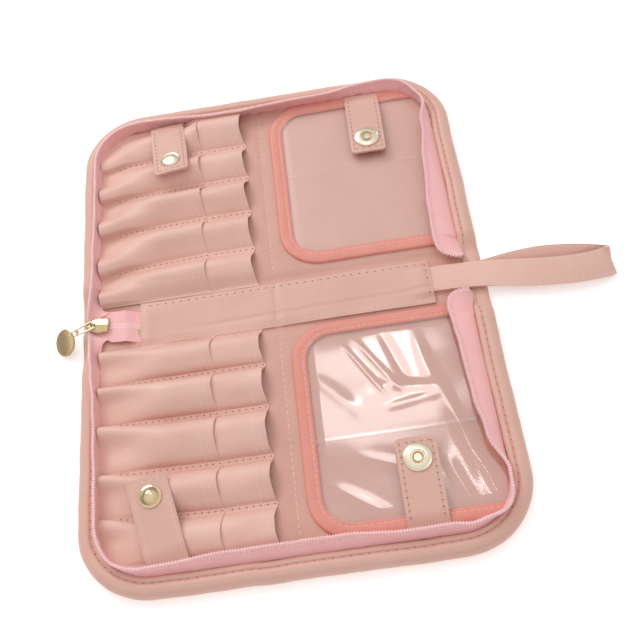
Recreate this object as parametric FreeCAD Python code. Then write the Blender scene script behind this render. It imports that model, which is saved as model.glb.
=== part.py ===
"""Travel jewelry case that lies open flat: two padded leather halves on a soft spine.

Frame: origin under the middle of the spine, on the surface the case lies on.
X runs along the spine towards the wrist strap, Y across it towards the upper half, Z up.
All sizes are in millimetres.
"""
import FreeCAD
import Part
import math
import os
from FreeCAD import Placement, Rotation, Vector

# ---- driving dimensions -------------------------------------------------------------------
LENGTH = 220.0            # along the spine
SPREAD = 295.2            # across both halves, lying open
SPINE_WIDTH = 30.0        # between the two fold lines
CORNER_R = 37.0           # far corners of each half
LEATHER = 1.0             # outer leather
BOARD = 1.2               # stiffener board
FOAM = 1.6
LINING = 0.7
RIM_WIDTH = 10.0          # rolled edge, from the outside in to the zip tape
RIM_HEIGHT = 8.5
FOLD_GAP = 0.15           # each side of a fold line

HALF_LENGTH = LENGTH / 2
FAR = SPREAD / 2
FOLD = SPINE_WIDTH / 2
FLOOR_Z = LEATHER + BOARD + FOAM + LINING      # top of the lining in a half
LAYER_START = FOLD + 3.8                       # the padded layers stop short of the fold
CLOSE_PLANE = LEATHER + FOLD                   # the halves meet here when folded shut

# slot sleeves: sewn lines across the panel, and how high each loop stands over the lining
SLOT_LINES = {
    "lower": (19.2, 35.3, 59.1, 86.0, 110.1, 131.0),
    "upper": (19.2, 37.7, 63.0, 87.7, 112.0, 135.0),
}
SLOT_CRESTS = (5.8, 7.2, 7.2, 5.3, 5.3)
SLEEVE_SHEET = 0.8
SLEEVE_X = (-98.0, -74.0, -38.0)               # sewn end, full height from here, open end
BAND_X = (-37.6, -12.2)
SEWN_CREST = 0.25                              # share of the loop height left at the sewn end

# clear pockets: binding's outer box (left, near the spine, far) and corner radius
POCKET = {"lower": (2.5, 19.2, 132.5), "upper": (3.0, 22.0, 136.0)}
POCKET_RIGHT = 96.4
POCKET_R = 22.0
BINDING_WIDTH = 7.6
BINDING_HEIGHT = 2.6
CLEAR_SHEET = 0.4
POCKET_SLIT = 83.3                             # the clear front is two sheets, lapped here
SLIT_LAP = 6.0

# zip
TAPE = 0.7
TAPE_FOOT_Z = 5.0
TAPE_KNEE_Z = 7.6
COIL_R = 1.6
CHAIN_TAPE_HALF = 9.5
CHAIN_X = (-94.0, -78.8)
CHAIN_YAW = 6.0                                # degrees, the closed chain runs a little askew

# spine strip
STRIP_X = (-77.5, 81.5)
STRIP_HALF = 13.5
STRIP_SHEET = 1.2
SPINE_ROLL = 3.6                               # height of the spine's two end rolls

# snap tabs: base centre, direction of the free end (degrees from straight in), snap distance
TAB_WIDTH = 20.0
TAB_SHEET = 1.4
SNAP_FROM_TIP = 10.5
CAP_R = 5.75
SNAP_R = 7.2
SHANK_R = 0.98
TABS = {
    "lower_left": dict(base=(-65.3, -131.4), length=42.0, yaw=12.0, z=9.9, pitch=3.6),
    "lower_right": dict(base=(57.8, -131.2), length=42.6, yaw=0.0, z=8.2, pitch=1.0),
    "upper_left": dict(base=(-58.2, 131.5), length=39.2, yaw=5.0, z=9.9, pitch=3.8),
    "upper_right": dict(base=(60.9, 132.8), length=43.2, yaw=-0.8, z=8.2, pitch=1.0),
}

# wrist strap: leg centres (x, y, z, twist in degrees), out along the top and back below
STRAP_HALF = 7.5
STRAP_SHEET = 1.4
STRAP_ROUTE = (
    (82.0, 0.4, 6.5, 0.0),
    (95.0, -0.4, 6.5, 0.0),
    (108.0, -1.6, 6.9, 2.0),
    (120.0, -3.2, 7.4, 10.0),
    (134.0, -5.0, 8.0, 22.0),
    (148.0, -6.6, 8.4, 32.0),
    (160.0, -7.6, 8.3, 36.0),
    (168.5, -7.8, 7.9, 34.0),
    (172.4, -7.3, 6.9, 31.0),
    (173.4, -6.6, 5.7, 28.0),
    (171.4, -5.7, 4.5, 24.0),
    (166.0, -5.0, 3.8, 20.0),
    (154.0, -4.2, 3.5, 18.0),
    (140.0, -3.4, 3.7, 14.0),
    (124.0, -2.6, 4.2, 7.0),
    (108.0, -1.6, 4.9, 2.0),
    (95.0, -0.4, 4.8, 0.0),
    (82.0, 0.4, 4.8, 0.0),
)

# slider, lying along the chain with its nose towards the left edge
SLIDER_X = -99.4
SLIDER_LENGTH = 11.6
SLIDER_WIDTH = 8.6
SLIDER_NOSE = 5.2
SLIDER_FOOT_Z = 3.95
PLATE = 0.9
MOUTH = 2.1
TOP_PLATE = 1.2
CROWN_HEIGHT = 2.2
WIRE_R = 0.5
LINK_HALF = 2.2
LINK_REACH = 9.6
DISC_R = 7.5
DISC = 1.0
DISC_CENTRE = Vector(-120.6, -5.4, 5.4)
DISC_DOWNHILL = Vector(-0.68, -0.39, -0.62)    # the way the hanging disc slopes
DISC_HOLE_R = 1.15
RING_R = 2.3
RING_WIRE_R = 0.4

os.makedirs("parts", exist_ok=True)


def save(name, shape):
    """Write one sub-part, and say so if it is not a sound solid."""
    solids = shape.Solids
    sound = shape.isValid() and len(solids) > 0
    kept = Part.makeCompound(solids) if len(solids) > 1 else solids[0]
    kept.exportStep("parts/%s.step" % name)
    if not sound:
        print("NOT SOUND", name)


def box(x0, x1, y0, y1, z0, z1):
    return Part.makeBox(x1 - x0, y1 - y0, z1 - z0, Vector(x0, y0, z0))


def to_side(shape, side):
    """Pieces are drawn for the upper half; the lower half's are their mirror image."""
    if side == "upper":
        return shape
    return shape.mirror(Vector(0, 0, 0), Vector(0, 1, 0))


def ruled_solid(sections):
    """Solid through closed polygons of corner points, corner to corner, capped at both ends."""
    faces = [Part.Face(Part.makePolygon(points + points[:1])) for points in (sections[0], sections[-1])]
    count = len(sections[0])
    for near, far in zip(sections, sections[1:]):
        for i in range(count):
            j = (i + 1) % count
            low = Part.makeLine(near[i], near[j])
            high = Part.makeLine(far[i], far[j])
            faces.append(Part.makeRuledSurface(low, high))
    shell = Part.makeShell(faces)
    shell.sewShape()
    solid = Part.makeSolid(shell)
    if solid.Volume < 0:
        solid.reverse()
    return solid


def arc_through(a, b, c):
    return Part.Arc(a, b, c).toShape()


def rim_line(inset, near_y):
    """Open line round a half at a distance inside its outline: right side, far side, left side."""
    x = HALF_LENGTH - inset
    y = FAR - inset
    r = CORNER_R - inset
    k = r * (1 - math.sqrt(0.5))
    return [
        Part.LineSegment(Vector(x, near_y, 0), Vector(x, y - r, 0)).toShape(),
        arc_through(Vector(x, y - r, 0), Vector(x - k, y - k, 0), Vector(x - r, y, 0)),
        Part.LineSegment(Vector(x - r, y, 0), Vector(-x + r, y, 0)).toShape(),
        arc_through(Vector(-x + r, y, 0), Vector(-x + k, y - k, 0), Vector(-x, y - r, 0)),
        Part.LineSegment(Vector(-x, y - r, 0), Vector(-x, near_y, 0)).toShape(),
    ]


def half_slab(inset, near_y, z0, z1):
    x = HALF_LENGTH - inset
    close = Part.LineSegment(Vector(-x, near_y, 0), Vector(x, near_y, 0)).toShape()
    face = Part.Face(Part.Wire(rim_line(inset, near_y) + [close]))
    slab = face.extrude(Vector(0, 0, z1 - z0))
    slab.translate(Vector(0, 0, z0))
    return slab


def rim_profile(skin_inside, near_y):
    """The rolled edge's section: outer skin if skin_inside is 0, else the shape inside it."""
    t = skin_inside
    low_r = 4.0 - t
    high_r = 4.5 - t
    q = math.sqrt(0.5)

    def at(inward, z):
        return Vector(HALF_LENGTH - inward, near_y, z)

    top = RIM_HEIGHT - t
    inner_top = RIM_HEIGHT - 1.3 - t
    return [
        Part.LineSegment(at(RIM_WIDTH, t), at(4.0, t)).toShape(),
        arc_through(at(4.0, t), at(4.0 - low_r * q, 4.0 - low_r * q), at(t, 4.0)),
        arc_through(at(t, 4.0), at(4.5 - high_r * q, 4.0 + high_r * q), at(4.5, top)),
        arc_through(at(4.5, top), at(7.6, top - 0.45), at(RIM_WIDTH, inner_top)),
    ]


def end_taper(drop):
    """What is cut from a rim's ends so that it runs down to the fold."""
    y0 = FOLD + 3.2
    y1 = FOLD + 12.0
    wide = HALF_LENGTH + 5
    pts = [
        Vector(-wide, FOLD - 5, LEATHER),
        Vector(-wide, y0, LEATHER),
        Vector(-wide, y0, 4.8 - drop),
        Vector(-wide, y1, RIM_HEIGHT - drop),
        Vector(-wide, y1, RIM_HEIGHT + 5),
        Vector(-wide, FOLD - 5, RIM_HEIGHT + 5),
    ]
    return Part.Face(Part.makePolygon(pts + [pts[0]])).extrude(Vector(2 * wide, 0, 0))


def sweep_rim(profile_edges, near_y):
    path = Part.Wire(rim_line(0, near_y))
    return path.makePipeShell([Part.Wire(profile_edges)], True, False)


def outer_cover():
    near_y = FOLD + FOLD_GAP
    outside = rim_profile(0, near_y)
    inside = rim_profile(LEATHER, near_y)
    foot_out = outside[0].Vertexes[0].Point
    foot_in = inside[0].Vertexes[0].Point
    lip_out = outside[-1].Vertexes[-1].Point
    lip_in = inside[-1].Vertexes[-1].Point
    loop = outside + inside
    loop.append(Part.LineSegment(foot_out, foot_in).toShape())
    loop.append(Part.LineSegment(lip_out, lip_in).toShape())
    skin = sweep_rim(Part.__sortEdges__(loop), near_y)
    base = half_slab(RIM_WIDTH - 0.01, near_y, 0, LEATHER)
    return base.fuse(skin).removeSplitter().cut(end_taper(0))


def rim_padding():
    near_y = LAYER_START
    edges = rim_profile(LEATHER, near_y)
    start = edges[0].Vertexes[0].Point
    end = edges[-1].Vertexes[-1].Point
    edges.append(Part.LineSegment(end, start).toShape())
    return sweep_rim(Part.__sortEdges__(edges), near_y).cut(end_taper(LEATHER))


def loop_height(crest, share):
    """Height over the lining at a share of the way across one loop, 0 to 1."""
    return crest * math.sin(math.pi * share) ** 0.6


def sleeve_section(x, side, scale):
    """One sheet sewn down at every line and standing up in a loop between them."""
    lines = SLOT_LINES[side]
    steps = (0.0, 0.03, 0.08, 0.16, 0.3, 0.5, 0.7, 0.84, 0.92, 0.97)
    outer = []
    inner = []
    for i, crest in enumerate(SLOT_CRESTS):
        span = lines[i + 1] - lines[i]
        for s in steps:
            y = lines[i] + span * s
            rise = loop_height(crest * scale - SLEEVE_SHEET, s)
            outer.append(Vector(x, y, FLOOR_Z + SLEEVE_SHEET + rise))
            inner.append(Vector(x, y, FLOOR_Z + max(0.0, rise - 0.02)))
    outer.append(Vector(x, lines[-1], FLOOR_Z + SLEEVE_SHEET))
    inner.append(Vector(x, lines[-1], FLOOR_Z))
    return Part.makePolygon(outer + list(reversed(inner)) + [outer[0]])


def slot_sleeve(side):
    sewn, full, open_end = SLEEVE_X
    sections = [
        sleeve_section(sewn, side, SEWN_CREST),
        sleeve_section(full, side, 1.0),
        sleeve_section(open_end, side, 1.0),
    ]
    floor = half_slab(RIM_WIDTH + 1.2, FOLD, FLOOR_Z - 1, CLOSE_PLANE)
    return Part.makeLoft(sections, True, True).common(floor)


def slot_band(side):
    start, end = BAND_X
    return Part.makeLoft([sleeve_section(start, side, 1.0), sleeve_section(end, side, 1.0)], True, True)


def pocket_face(side, inset):
    """Pocket outline: rounded at the left, square where it runs in under the zip tape."""
    left, near, far = POCKET[side]
    x0 = left + inset
    x1 = POCKET_RIGHT - inset
    y0 = near + inset
    y1 = far - inset
    r = POCKET_R - inset
    k = r * (1 - math.sqrt(0.5))
    edges = [
        Part.LineSegment(Vector(x1, y0, 0), Vector(x1, y1, 0)).toShape(),
        Part.LineSegment(Vector(x1, y1, 0), Vector(x0 + r, y1, 0)).toShape(),
        arc_through(Vector(x0 + r, y1, 0), Vector(x0 + k, y1 - k, 0), Vector(x0, y1 - r, 0)),
        Part.LineSegment(Vector(x0, y1 - r, 0), Vector(x0, y0 + r, 0)).toShape(),
        arc_through(Vector(x0, y0 + r, 0), Vector(x0 + k, y0 + k, 0), Vector(x0 + r, y0, 0)),
        Part.LineSegment(Vector(x0 + r, y0, 0), Vector(x1, y0, 0)).toShape(),
    ]
    under_tape = half_slab(RIM_WIDTH + 3.6, FOLD, -1, 1)
    return Part.Face(Part.Wire(edges)).common(under_tape)


def pocket_binding(side):
    ring = pocket_face(side, 0).cut(pocket_face(side, BINDING_WIDTH))
    solid = ring.extrude(Vector(0, 0, BINDING_HEIGHT))
    solid.translate(Vector(0, 0, FLOOR_Z))
    seat = pocket_face(side, 1.5).extrude(Vector(0, 0, 2 * CLEAR_SHEET + 0.2))
    seat.translate(Vector(0, 0, FLOOR_Z + 1.5))
    return solid.cut(seat)


def pocket_sheet(side, near_part):
    """One of the two lapped clear sheets that make the pocket's front."""
    face = pocket_face(side, 1.6)
    if near_part:
        keep = box(-5, HALF_LENGTH, 0, POCKET_SLIT + SLIT_LAP, -1, 1)
        z = FLOOR_Z + 1.5 + CLEAR_SHEET + 0.1
    else:
        keep = box(-5, HALF_LENGTH, POCKET_SLIT, FAR, -1, 1)
        z = FLOOR_Z + 1.5
    sheet = face.common(keep).extrude(Vector(0, 0, CLEAR_SHEET))
    sheet.translate(Vector(0, 0, z))
    return sheet


# zip tape stance: share of the way round from the right fold end to the left one,
# how far the top leans in (minus is out), and how high the tape stands
TAPE_STANCE = {
    "upper": (
        (0.0, 1.0, 7.4), (0.02, 5.0, 9.4), (0.05, 8.6, 11.4), (0.12, 8.8, 11.8), (0.2, 6.0, 12.0),
        (0.27, 0.5, 12.2), (0.34, -2.0, 12.3), (0.42, 1.0, 12.2), (0.55, 3.0, 12.0),
        (0.68, 0.0, 12.2), (0.76, -1.5, 12.2), (0.86, -1.0, 12.2), (0.96, 0.0, 11.8), (1.0, 0.5, 8.6),
    ),
    "lower": (
        (0.0, 1.0, 7.4), (0.02, 6.0, 9.4), (0.05, 9.4, 11.4), (0.12, 9.4, 11.8), (0.22, 8.0, 12.0),
        (0.29, 2.0, 12.2), (0.36, 0.0, 12.2), (0.45, 1.0, 12.1), (0.58, 1.0, 12.1),
        (0.68, -0.5, 12.2), (0.76, 0.0, 12.2), (0.88, 0.5, 12.2), (0.97, 0.5, 11.8), (1.0, 0.5, 8.6),
    ),
}
TAPE_START = FOLD + 7.4
STANCE_STEPS = 56


def around(share, inset):
    """Point on the rim line at a share of its length, with the inward direction there."""
    x = HALF_LENGTH - inset
    y = FAR - inset
    r = CORNER_R - inset
    side = y - r - TAPE_START
    corner = r * math.pi / 2
    far = 2 * (x - r)
    length = 2 * side + 2 * corner + far
    s = share * length
    if s <= side:
        return Vector(x, TAPE_START + s, 0), Vector(-1, 0, 0)
    s -= side
    if s <= corner:
        a = s / r
        out = Vector(math.cos(a), math.sin(a), 0)
        return Vector(x - r, y - r, 0) + out * r, -out
    s -= corner
    if s <= far:
        return Vector(x - r - s, y, 0), Vector(0, -1, 0)
    s -= far
    if s <= corner:
        a = math.pi / 2 + s / r
        out = Vector(math.cos(a), math.sin(a), 0)
        return Vector(-x + r, y - r, 0) + out * r, -out
    s -= corner
    return Vector(-x, y - r - s, 0), Vector(1, 0, 0)


def stance(side, share):
    table = TAPE_STANCE[side]
    for (s0, lean0, z0), (s1, lean1, z1) in zip(table, table[1:]):
        if share <= s1:
            t = (share - s0) / (s1 - s0)
            t = t * t * (3 - 2 * t)
            return lean0 + (lean1 - lean0) * t, z0 + (z1 - z0) * t
    return table[-1][1], table[-1][2]


def tape_sections(side):
    """Stations round the rim: knee at the rim's lip, top of the tape, the way up and across it."""
    inset = RIM_WIDTH + TAPE / 2 + 0.05
    for i in range(STANCE_STEPS + 1):
        share = i / STANCE_STEPS
        knee, inward = around(share, inset)
        lean, z = stance(side, share)
        knee = knee + Vector(0, 0, min(TAPE_KNEE_Z, z - 1.0))
        top = Vector(knee.x, knee.y, z) + inward * lean
        up = (top - knee).normalize()
        across = inward * up.z - Vector(0, 0, 1) * up.dot(inward)
        yield knee, top, inward, up, across


def zip_tape(side):
    """Sewn upright inside the rim's lip, then leaning by the stance at each place."""
    sections = []
    for knee, top, inward, up, across in tape_sections(side):
        foot = Vector(knee.x, knee.y, TAPE_FOOT_Z)
        low = inward * (TAPE / 2)
        high = across * (TAPE / 2)
        bend = (low + high) * 0.5
        sections.append([foot - low, foot + low, knee + bend, top + high, top - high, knee - bend])
    return ruled_solid(sections)


def zip_coil(side):
    sections = []
    for knee, top, inward, up, across in tape_sections(side):
        centre = top + up * (COIL_R + 0.02)
        ring = []
        for i in range(8):
            a = math.pi / 4 * i + math.pi / 8
            ring.append(centre + (across * math.cos(a) + up * math.sin(a)) * (COIL_R / math.cos(math.pi / 8)))
        sections.append(ring)
    return ruled_solid(sections)


def rounded_plate(x0, x1, y0, y1, z0, z1, radius):
    plate = box(x0, x1, y0, y1, z0, z1)
    return plate.makeFillet(radius, upright_edges(plate))


def upright_edges(shape):
    found = []
    for edge in shape.Edges:
        a = edge.Vertexes[0].Point
        b = edge.Vertexes[-1].Point
        if abs(a.x - b.x) < 1e-6 and abs(a.y - b.y) < 1e-6:
            found.append(edge)
    return found


def spine_cover():
    edge = FOLD - FOLD_GAP
    base = box(-HALF_LENGTH, HALF_LENGTH, -edge, edge, 0, LEATHER)
    for sign in (-1, 1):
        outer = sign * HALF_LENGTH
        inner = sign * (HALF_LENGTH - RIM_WIDTH)
        roll = box(min(outer, inner), max(outer, inner), -edge + 0.45, edge - 0.45, 0, SPINE_ROLL)
        long_edges = [e for e in roll.Edges if abs(e.Vertexes[0].Point.x - outer) < 1e-6
                      and abs(e.Vertexes[-1].Point.x - outer) < 1e-6
                      and abs(e.Vertexes[0].Point.z - e.Vertexes[-1].Point.z) < 1e-6]
        base = base.fuse(roll.makeFillet(SPINE_ROLL * 0.45, long_edges))
    return base.removeSplitter()


def chain_place():
    """The closed chain and the slider lie along local -X from the strip's left end."""
    return Placement(Vector(CHAIN_X[1], -0.6, 0), Rotation(Vector(0, 0, 1), -CHAIN_YAW))


def spine_zip_tape():
    """Closed tape: rises from under the strip to the slider's mouth."""
    reach = CHAIN_X[0] - CHAIN_X[1]
    level = SLIDER_FOOT_Z + PLATE + MOUTH / 2
    stations = ((0.0, 3.3, CHAIN_TAPE_HALF), (-4.0, 4.0, CHAIN_TAPE_HALF), (-8.4, level, 8.6), (reach, level, 7.8))
    sections = []
    for x, z, half in stations:
        corners = [(x, -half, z - 0.3), (x, half, z - 0.3), (x, half, z + 0.3), (x, -half, z + 0.3)]
        sections.append(Part.makePolygon([Vector(*c) for c in corners + corners[:1]]))
    solid = Part.makeLoft(sections, True, True)
    solid.Placement = chain_place()
    return solid


def spine_zip_coil():
    """The meshed coil on the closed tape, from the strip to inside the slider."""
    reach = CHAIN_X[0] - CHAIN_X[1]
    level = SLIDER_FOOT_Z + PLATE + MOUTH / 2
    sections = []
    for x, z in ((0.0, 3.3), (-4.0, 4.0), (-8.4, level), (reach, level)):
        corners = [(x, -2.6, z + 0.31), (x, 2.6, z + 0.31), (x, 2.0, z + 0.72), (x, -2.0, z + 0.72)]
        sections.append(Part.makePolygon([Vector(*c) for c in corners + corners[:1]]))
    solid = Part.makeLoft(sections, True, True)
    solid.Placement = chain_place()
    return solid


def slider_outline(shrink):
    """Plan of a slider plate: square at the back, tapering to the nose."""
    back = SLIDER_LENGTH / 2 - shrink
    nose = -SLIDER_LENGTH / 2 + shrink
    wide = SLIDER_WIDTH / 2 - shrink
    slim = SLIDER_NOSE / 2 - shrink
    pts = [Vector(back, -wide, 0), Vector(back, wide, 0), Vector(nose + 5.2, wide, 0),
           Vector(nose, slim, 0), Vector(nose, -slim, 0), Vector(nose + 5.2, -wide, 0)]
    return Part.Face(Part.makePolygon(pts + [pts[0]]))


def slider_place():
    along = SLIDER_X - CHAIN_X[1]
    local = Placement(Vector(along / math.cos(math.radians(CHAIN_YAW)), 0, 0), Rotation())
    return chain_place().multiply(local)


def slider_body():
    low = slider_outline(0.4).extrude(Vector(0, 0, PLATE))
    low.translate(Vector(0, 0, SLIDER_FOOT_Z))
    high = slider_outline(0).extrude(Vector(0, 0, TOP_PLATE))
    high = high.makeFillet(1.2, upright_edges(high))
    high_z = SLIDER_FOOT_Z + PLATE + MOUTH
    high.translate(Vector(0, 0, high_z))
    nose = -SLIDER_LENGTH / 2
    wedge = box(nose + 0.8, nose + 3.4, -1.3, 1.3, SLIDER_FOOT_Z, high_z + 0.1)
    body = low.fuse(high).fuse(wedge)
    top = high_z + TOP_PLATE
    crown = box(nose + 0.5, nose + 5.3, -0.8, 0.8, top - 0.2, top + CROWN_HEIGHT)
    eye = Part.makeCylinder(0.85, 4, Vector(nose + 2.3, -2, top + 0.9), Vector(0, 1, 0))
    body = body.fuse(crown).cut(eye)
    body.Placement = slider_place()
    return body


def crown_eye():
    """Centre of the eye that the pull link hangs in."""
    top = SLIDER_FOOT_Z + PLATE + MOUTH + TOP_PLATE
    return slider_place().multVec(Vector(-SLIDER_LENGTH / 2 + 2.3, 0, top + 0.9))


def rod(a, b, radius):
    return Part.makeCylinder(radius, (b - a).Length, a, b - a)


def bent_wire(corners, radius):
    """A wire link: straight rods with balls at its corners."""
    wire = None
    for a, b in zip(corners, corners[1:] + corners[:1]):
        piece = rod(a, b, radius).fuse(Part.makeSphere(radius, a))
        wire = piece if wire is None else wire.fuse(piece)
    return wire


def puller_frame():
    """Where the link lies: from the crown's eye out to its far bar, and the bars' direction."""
    start = crown_eye()
    hole = DISC_CENTRE - DISC_DOWNHILL * (DISC_R - 2.0)
    out = (hole - start).normalize()
    bar = Vector(0, 0, 1).cross(out).normalize()
    return start, out, bar, start + out * LINK_REACH


def puller_link():
    start, out, bar, end = puller_frame()
    half = bar * LINK_HALF
    slim = bar * (LINK_HALF * 0.75)
    corners = [start - half, start + half, end + slim, end - slim]
    return bent_wire(corners, WIRE_R)


def puller_ring():
    start, out, bar, end = puller_frame()
    centre = end + out * (RING_R - 1.0)
    return Part.makeTorus(RING_R, RING_WIRE_R, centre, bar)


def puller_disc():
    downhill = Vector(DISC_DOWNHILL).normalize()
    start, out, bar, end = puller_frame()
    top_edge = end + out * (2 * RING_R - 1.0)
    normal = downhill.cross(Vector(0, 0, 1)).cross(downhill).normalize()
    centre = top_edge + downhill * (DISC_R - 2.1)
    disc = Part.makeCylinder(DISC_R, DISC, centre - normal * (DISC / 2), normal)
    rims = [e for e in disc.Edges if e.Curve.TypeId == "Part::GeomCircle"]
    disc = disc.makeFillet(0.3, rims)
    hole = Part.makeCylinder(DISC_HOLE_R, 4, top_edge - normal * 2, normal)
    return disc.cut(hole)


def strap():
    """One long leather strip folded back on itself, its two ends under the spine strip."""
    sections = []
    last = len(STRAP_ROUTE) - 1
    for i, (x, y, z, twist) in enumerate(STRAP_ROUTE):
        before = Vector(*STRAP_ROUTE[max(i - 1, 0)][:3])
        after = Vector(*STRAP_ROUTE[min(i + 1, last)][:3])
        along = (after - before).normalize()
        a = math.radians(twist)
        across = Vector(0, math.cos(a), math.sin(a))
        across = (across - along * across.dot(along)).normalize()
        normal = along.cross(across).normalize()
        centre = Vector(x, y, z)
        w = across * STRAP_HALF
        n = normal * (STRAP_SHEET / 2)
        sections.append([centre - w - n, centre + w - n, centre + w + n, centre - w + n])
    return ruled_solid(sections)


def tab_place(name):
    """Local frame of a tab: origin at its sewn end, +Y to the free end, +Z up."""
    tab = TABS[name]
    x, y = tab["base"]
    turn = 0.0 if y < 0 else 180.0
    place = Placement(Vector(x, y, tab["z"]), Rotation(Vector(0, 0, 1), turn + tab["yaw"]))
    return place.multiply(Placement(Vector(0, 0, 0), Rotation(Vector(1, 0, 0), tab["pitch"])))


def tab_leather(name):
    length = TABS[name]["length"]
    sheet = rounded_plate(-TAB_WIDTH / 2, TAB_WIDTH / 2, 0, length, 0, TAB_SHEET, 1.0)
    hole = Part.makeCylinder(1.2, 4, Vector(0, length - SNAP_FROM_TIP, -1))
    sheet = sheet.cut(hole)
    sheet.Placement = tab_place(name)
    return sheet


def spun(points):
    """A turned piece from (radius, height) points."""
    wire = Part.makePolygon([Vector(r, 0, z) for r, z in points] + [Vector(points[0][0], 0, points[0][1])])
    return Part.Face(wire).revolve(Vector(0, 0, 0), Vector(0, 0, 1), 360)


def on_tab(name, piece):
    at = Placement(Vector(0, TABS[name]["length"] - SNAP_FROM_TIP, 0), Rotation())
    piece.Placement = tab_place(name).multiply(at)
    return piece


def rivet_cap(radius, height):
    """Domed cap with a turned-in rim, standing on z 0."""
    steps = 7
    dome = [(0.0, 0.0), (radius - 0.3, 0.0), (radius, 0.3)]
    for i in range(1, steps + 1):
        a = math.pi / 2 * i / steps
        dome.append((radius * math.cos(a), 0.3 + (height - 0.3) * math.sin(a)))
    dome[-1] = (0.0, height)
    return spun(dome)


def flat_snap(radius):
    """Flat snap disc: raised rim, sunk ring and a small hollow post."""
    return spun([
        (1.0, 0.0), (radius - 0.2, 0.0), (radius, 0.25), (radius, 1.2), (radius - 0.5, 1.5),
        (3.0, 1.5), (2.8, 1.25), (2.3, 1.25), (2.1, 1.8), (1.3, 1.8), (1.0, 1.5),
    ])


def snap_shank():
    """The post through the tab's hole that joins the two sides of a snap."""
    return Part.makeCylinder(SHANK_R, TAB_SHEET - 0.2, Vector(0, 0, -0.2))


def hinge_report(name):
    place = tab_place(name)
    at = place.multVec(Vector(0, 0, TAB_SHEET / 2))
    axis = place.Rotation.multVec(Vector(-1, 0, 0))
    print("hinge", name, [round(v / 1000, 5) for v in at], [round(v, 5) for v in axis])


# ---- the two halves -----------------------------------------------------------------------
for half in ("lower", "upper"):
    save(half + "_cover", to_side(outer_cover(), half))
    save(half + "_rim_padding", to_side(rim_padding(), half))
    board_top = LEATHER + BOARD
    foam_top = board_top + FOAM
    inset = RIM_WIDTH + 0.05
    save(half + "_board", to_side(half_slab(inset, LAYER_START, LEATHER, board_top), half))
    save(half + "_foam", to_side(half_slab(inset, LAYER_START, board_top, foam_top), half))
    save(half + "_lining", to_side(half_slab(inset, LAYER_START, foam_top, FLOOR_Z), half))
    save(half + "_slot_sleeve", to_side(slot_sleeve(half), half))
    save(half + "_slot_band", to_side(slot_band(half), half))
    save(half + "_pocket_binding", to_side(pocket_binding(half), half))
    save(half + "_pocket_top_sheet", to_side(pocket_sheet(half, True), half))
    save(half + "_pocket_under_sheet", to_side(pocket_sheet(half, False), half))
    save(half + "_zip_tape", to_side(zip_tape(half), half))
    save(half + "_zip_coil", to_side(zip_coil(half), half))

# ---- snap tabs ----------------------------------------------------------------------------
for tab in TABS:
    save(tab + "_tab", tab_leather(tab))
    above = Placement(Vector(0, 0, TAB_SHEET), Rotation())
    if tab.endswith("left"):
        top = rivet_cap(CAP_R, 2.0).fuse(Part.makeCylinder(SHANK_R, 0.4, Vector(0, 0, -0.4)))
        top.Placement = above
        below = flat_snap(CAP_R).mirror(Vector(0, 0, 0), Vector(0, 0, 1)).fuse(snap_shank())
        save(tab + "_snap_cap", on_tab(tab, Part.makeCompound([top])))
        save(tab + "_snap_socket", on_tab(tab, Part.makeCompound([below])))
    else:
        top = flat_snap(SNAP_R)
        top.Placement = above
        below = rivet_cap(CAP_R, 1.0).mirror(Vector(0, 0, 0), Vector(0, 0, 1)).fuse(snap_shank())
        save(tab + "_snap_stud", on_tab(tab, Part.makeCompound([top])))
        save(tab + "_snap_rivet", on_tab(tab, Part.makeCompound([below])))
    hinge_report(tab)

# ---- spine --------------------------------------------------------------------------------
board_half = STRIP_HALF - 0.3
layer_half = HALF_LENGTH - RIM_WIDTH - 0.1
spine_board_top = LEATHER + 1.0
spine_floor = spine_board_top + LINING
strip_top = spine_floor + STRIP_SHEET
save("spine_cover", spine_cover())
save("spine_board", box(-layer_half, layer_half, -board_half, board_half, LEATHER, spine_board_top))
save("spine_lining", box(-layer_half, layer_half, -board_half, board_half, spine_board_top, spine_floor))
save("spine_strip", rounded_plate(STRIP_X[0], STRIP_X[1], -STRIP_HALF, STRIP_HALF, spine_floor, strip_top, 1.0))
save("spine_zip_tape", spine_zip_tape())
save("spine_zip_coil", spine_zip_coil())

# ---- strap, slider and pull ---------------------------------------------------------------
save("wrist_strap", strap())
save("slider_body", slider_body())
save("puller_link", puller_link())
save("puller_ring", puller_ring())
save("puller_disc", puller_disc())
link_start, link_out, link_bar, link_end = puller_frame()
print("link", [round(v / 1000, 5) for v in link_start], [round(v, 5) for v in link_bar],
      [round(v / 1000, 5) for v in link_end])
print("slide axis", [round(v, 5) for v in chain_place().Rotation.multVec(Vector(1, 0, 0))])
print("halves meet at z", CLOSE_PLANE)
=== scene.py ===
import math

import bmesh
import bpy
from mathutils import Matrix, Vector, noise


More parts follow.
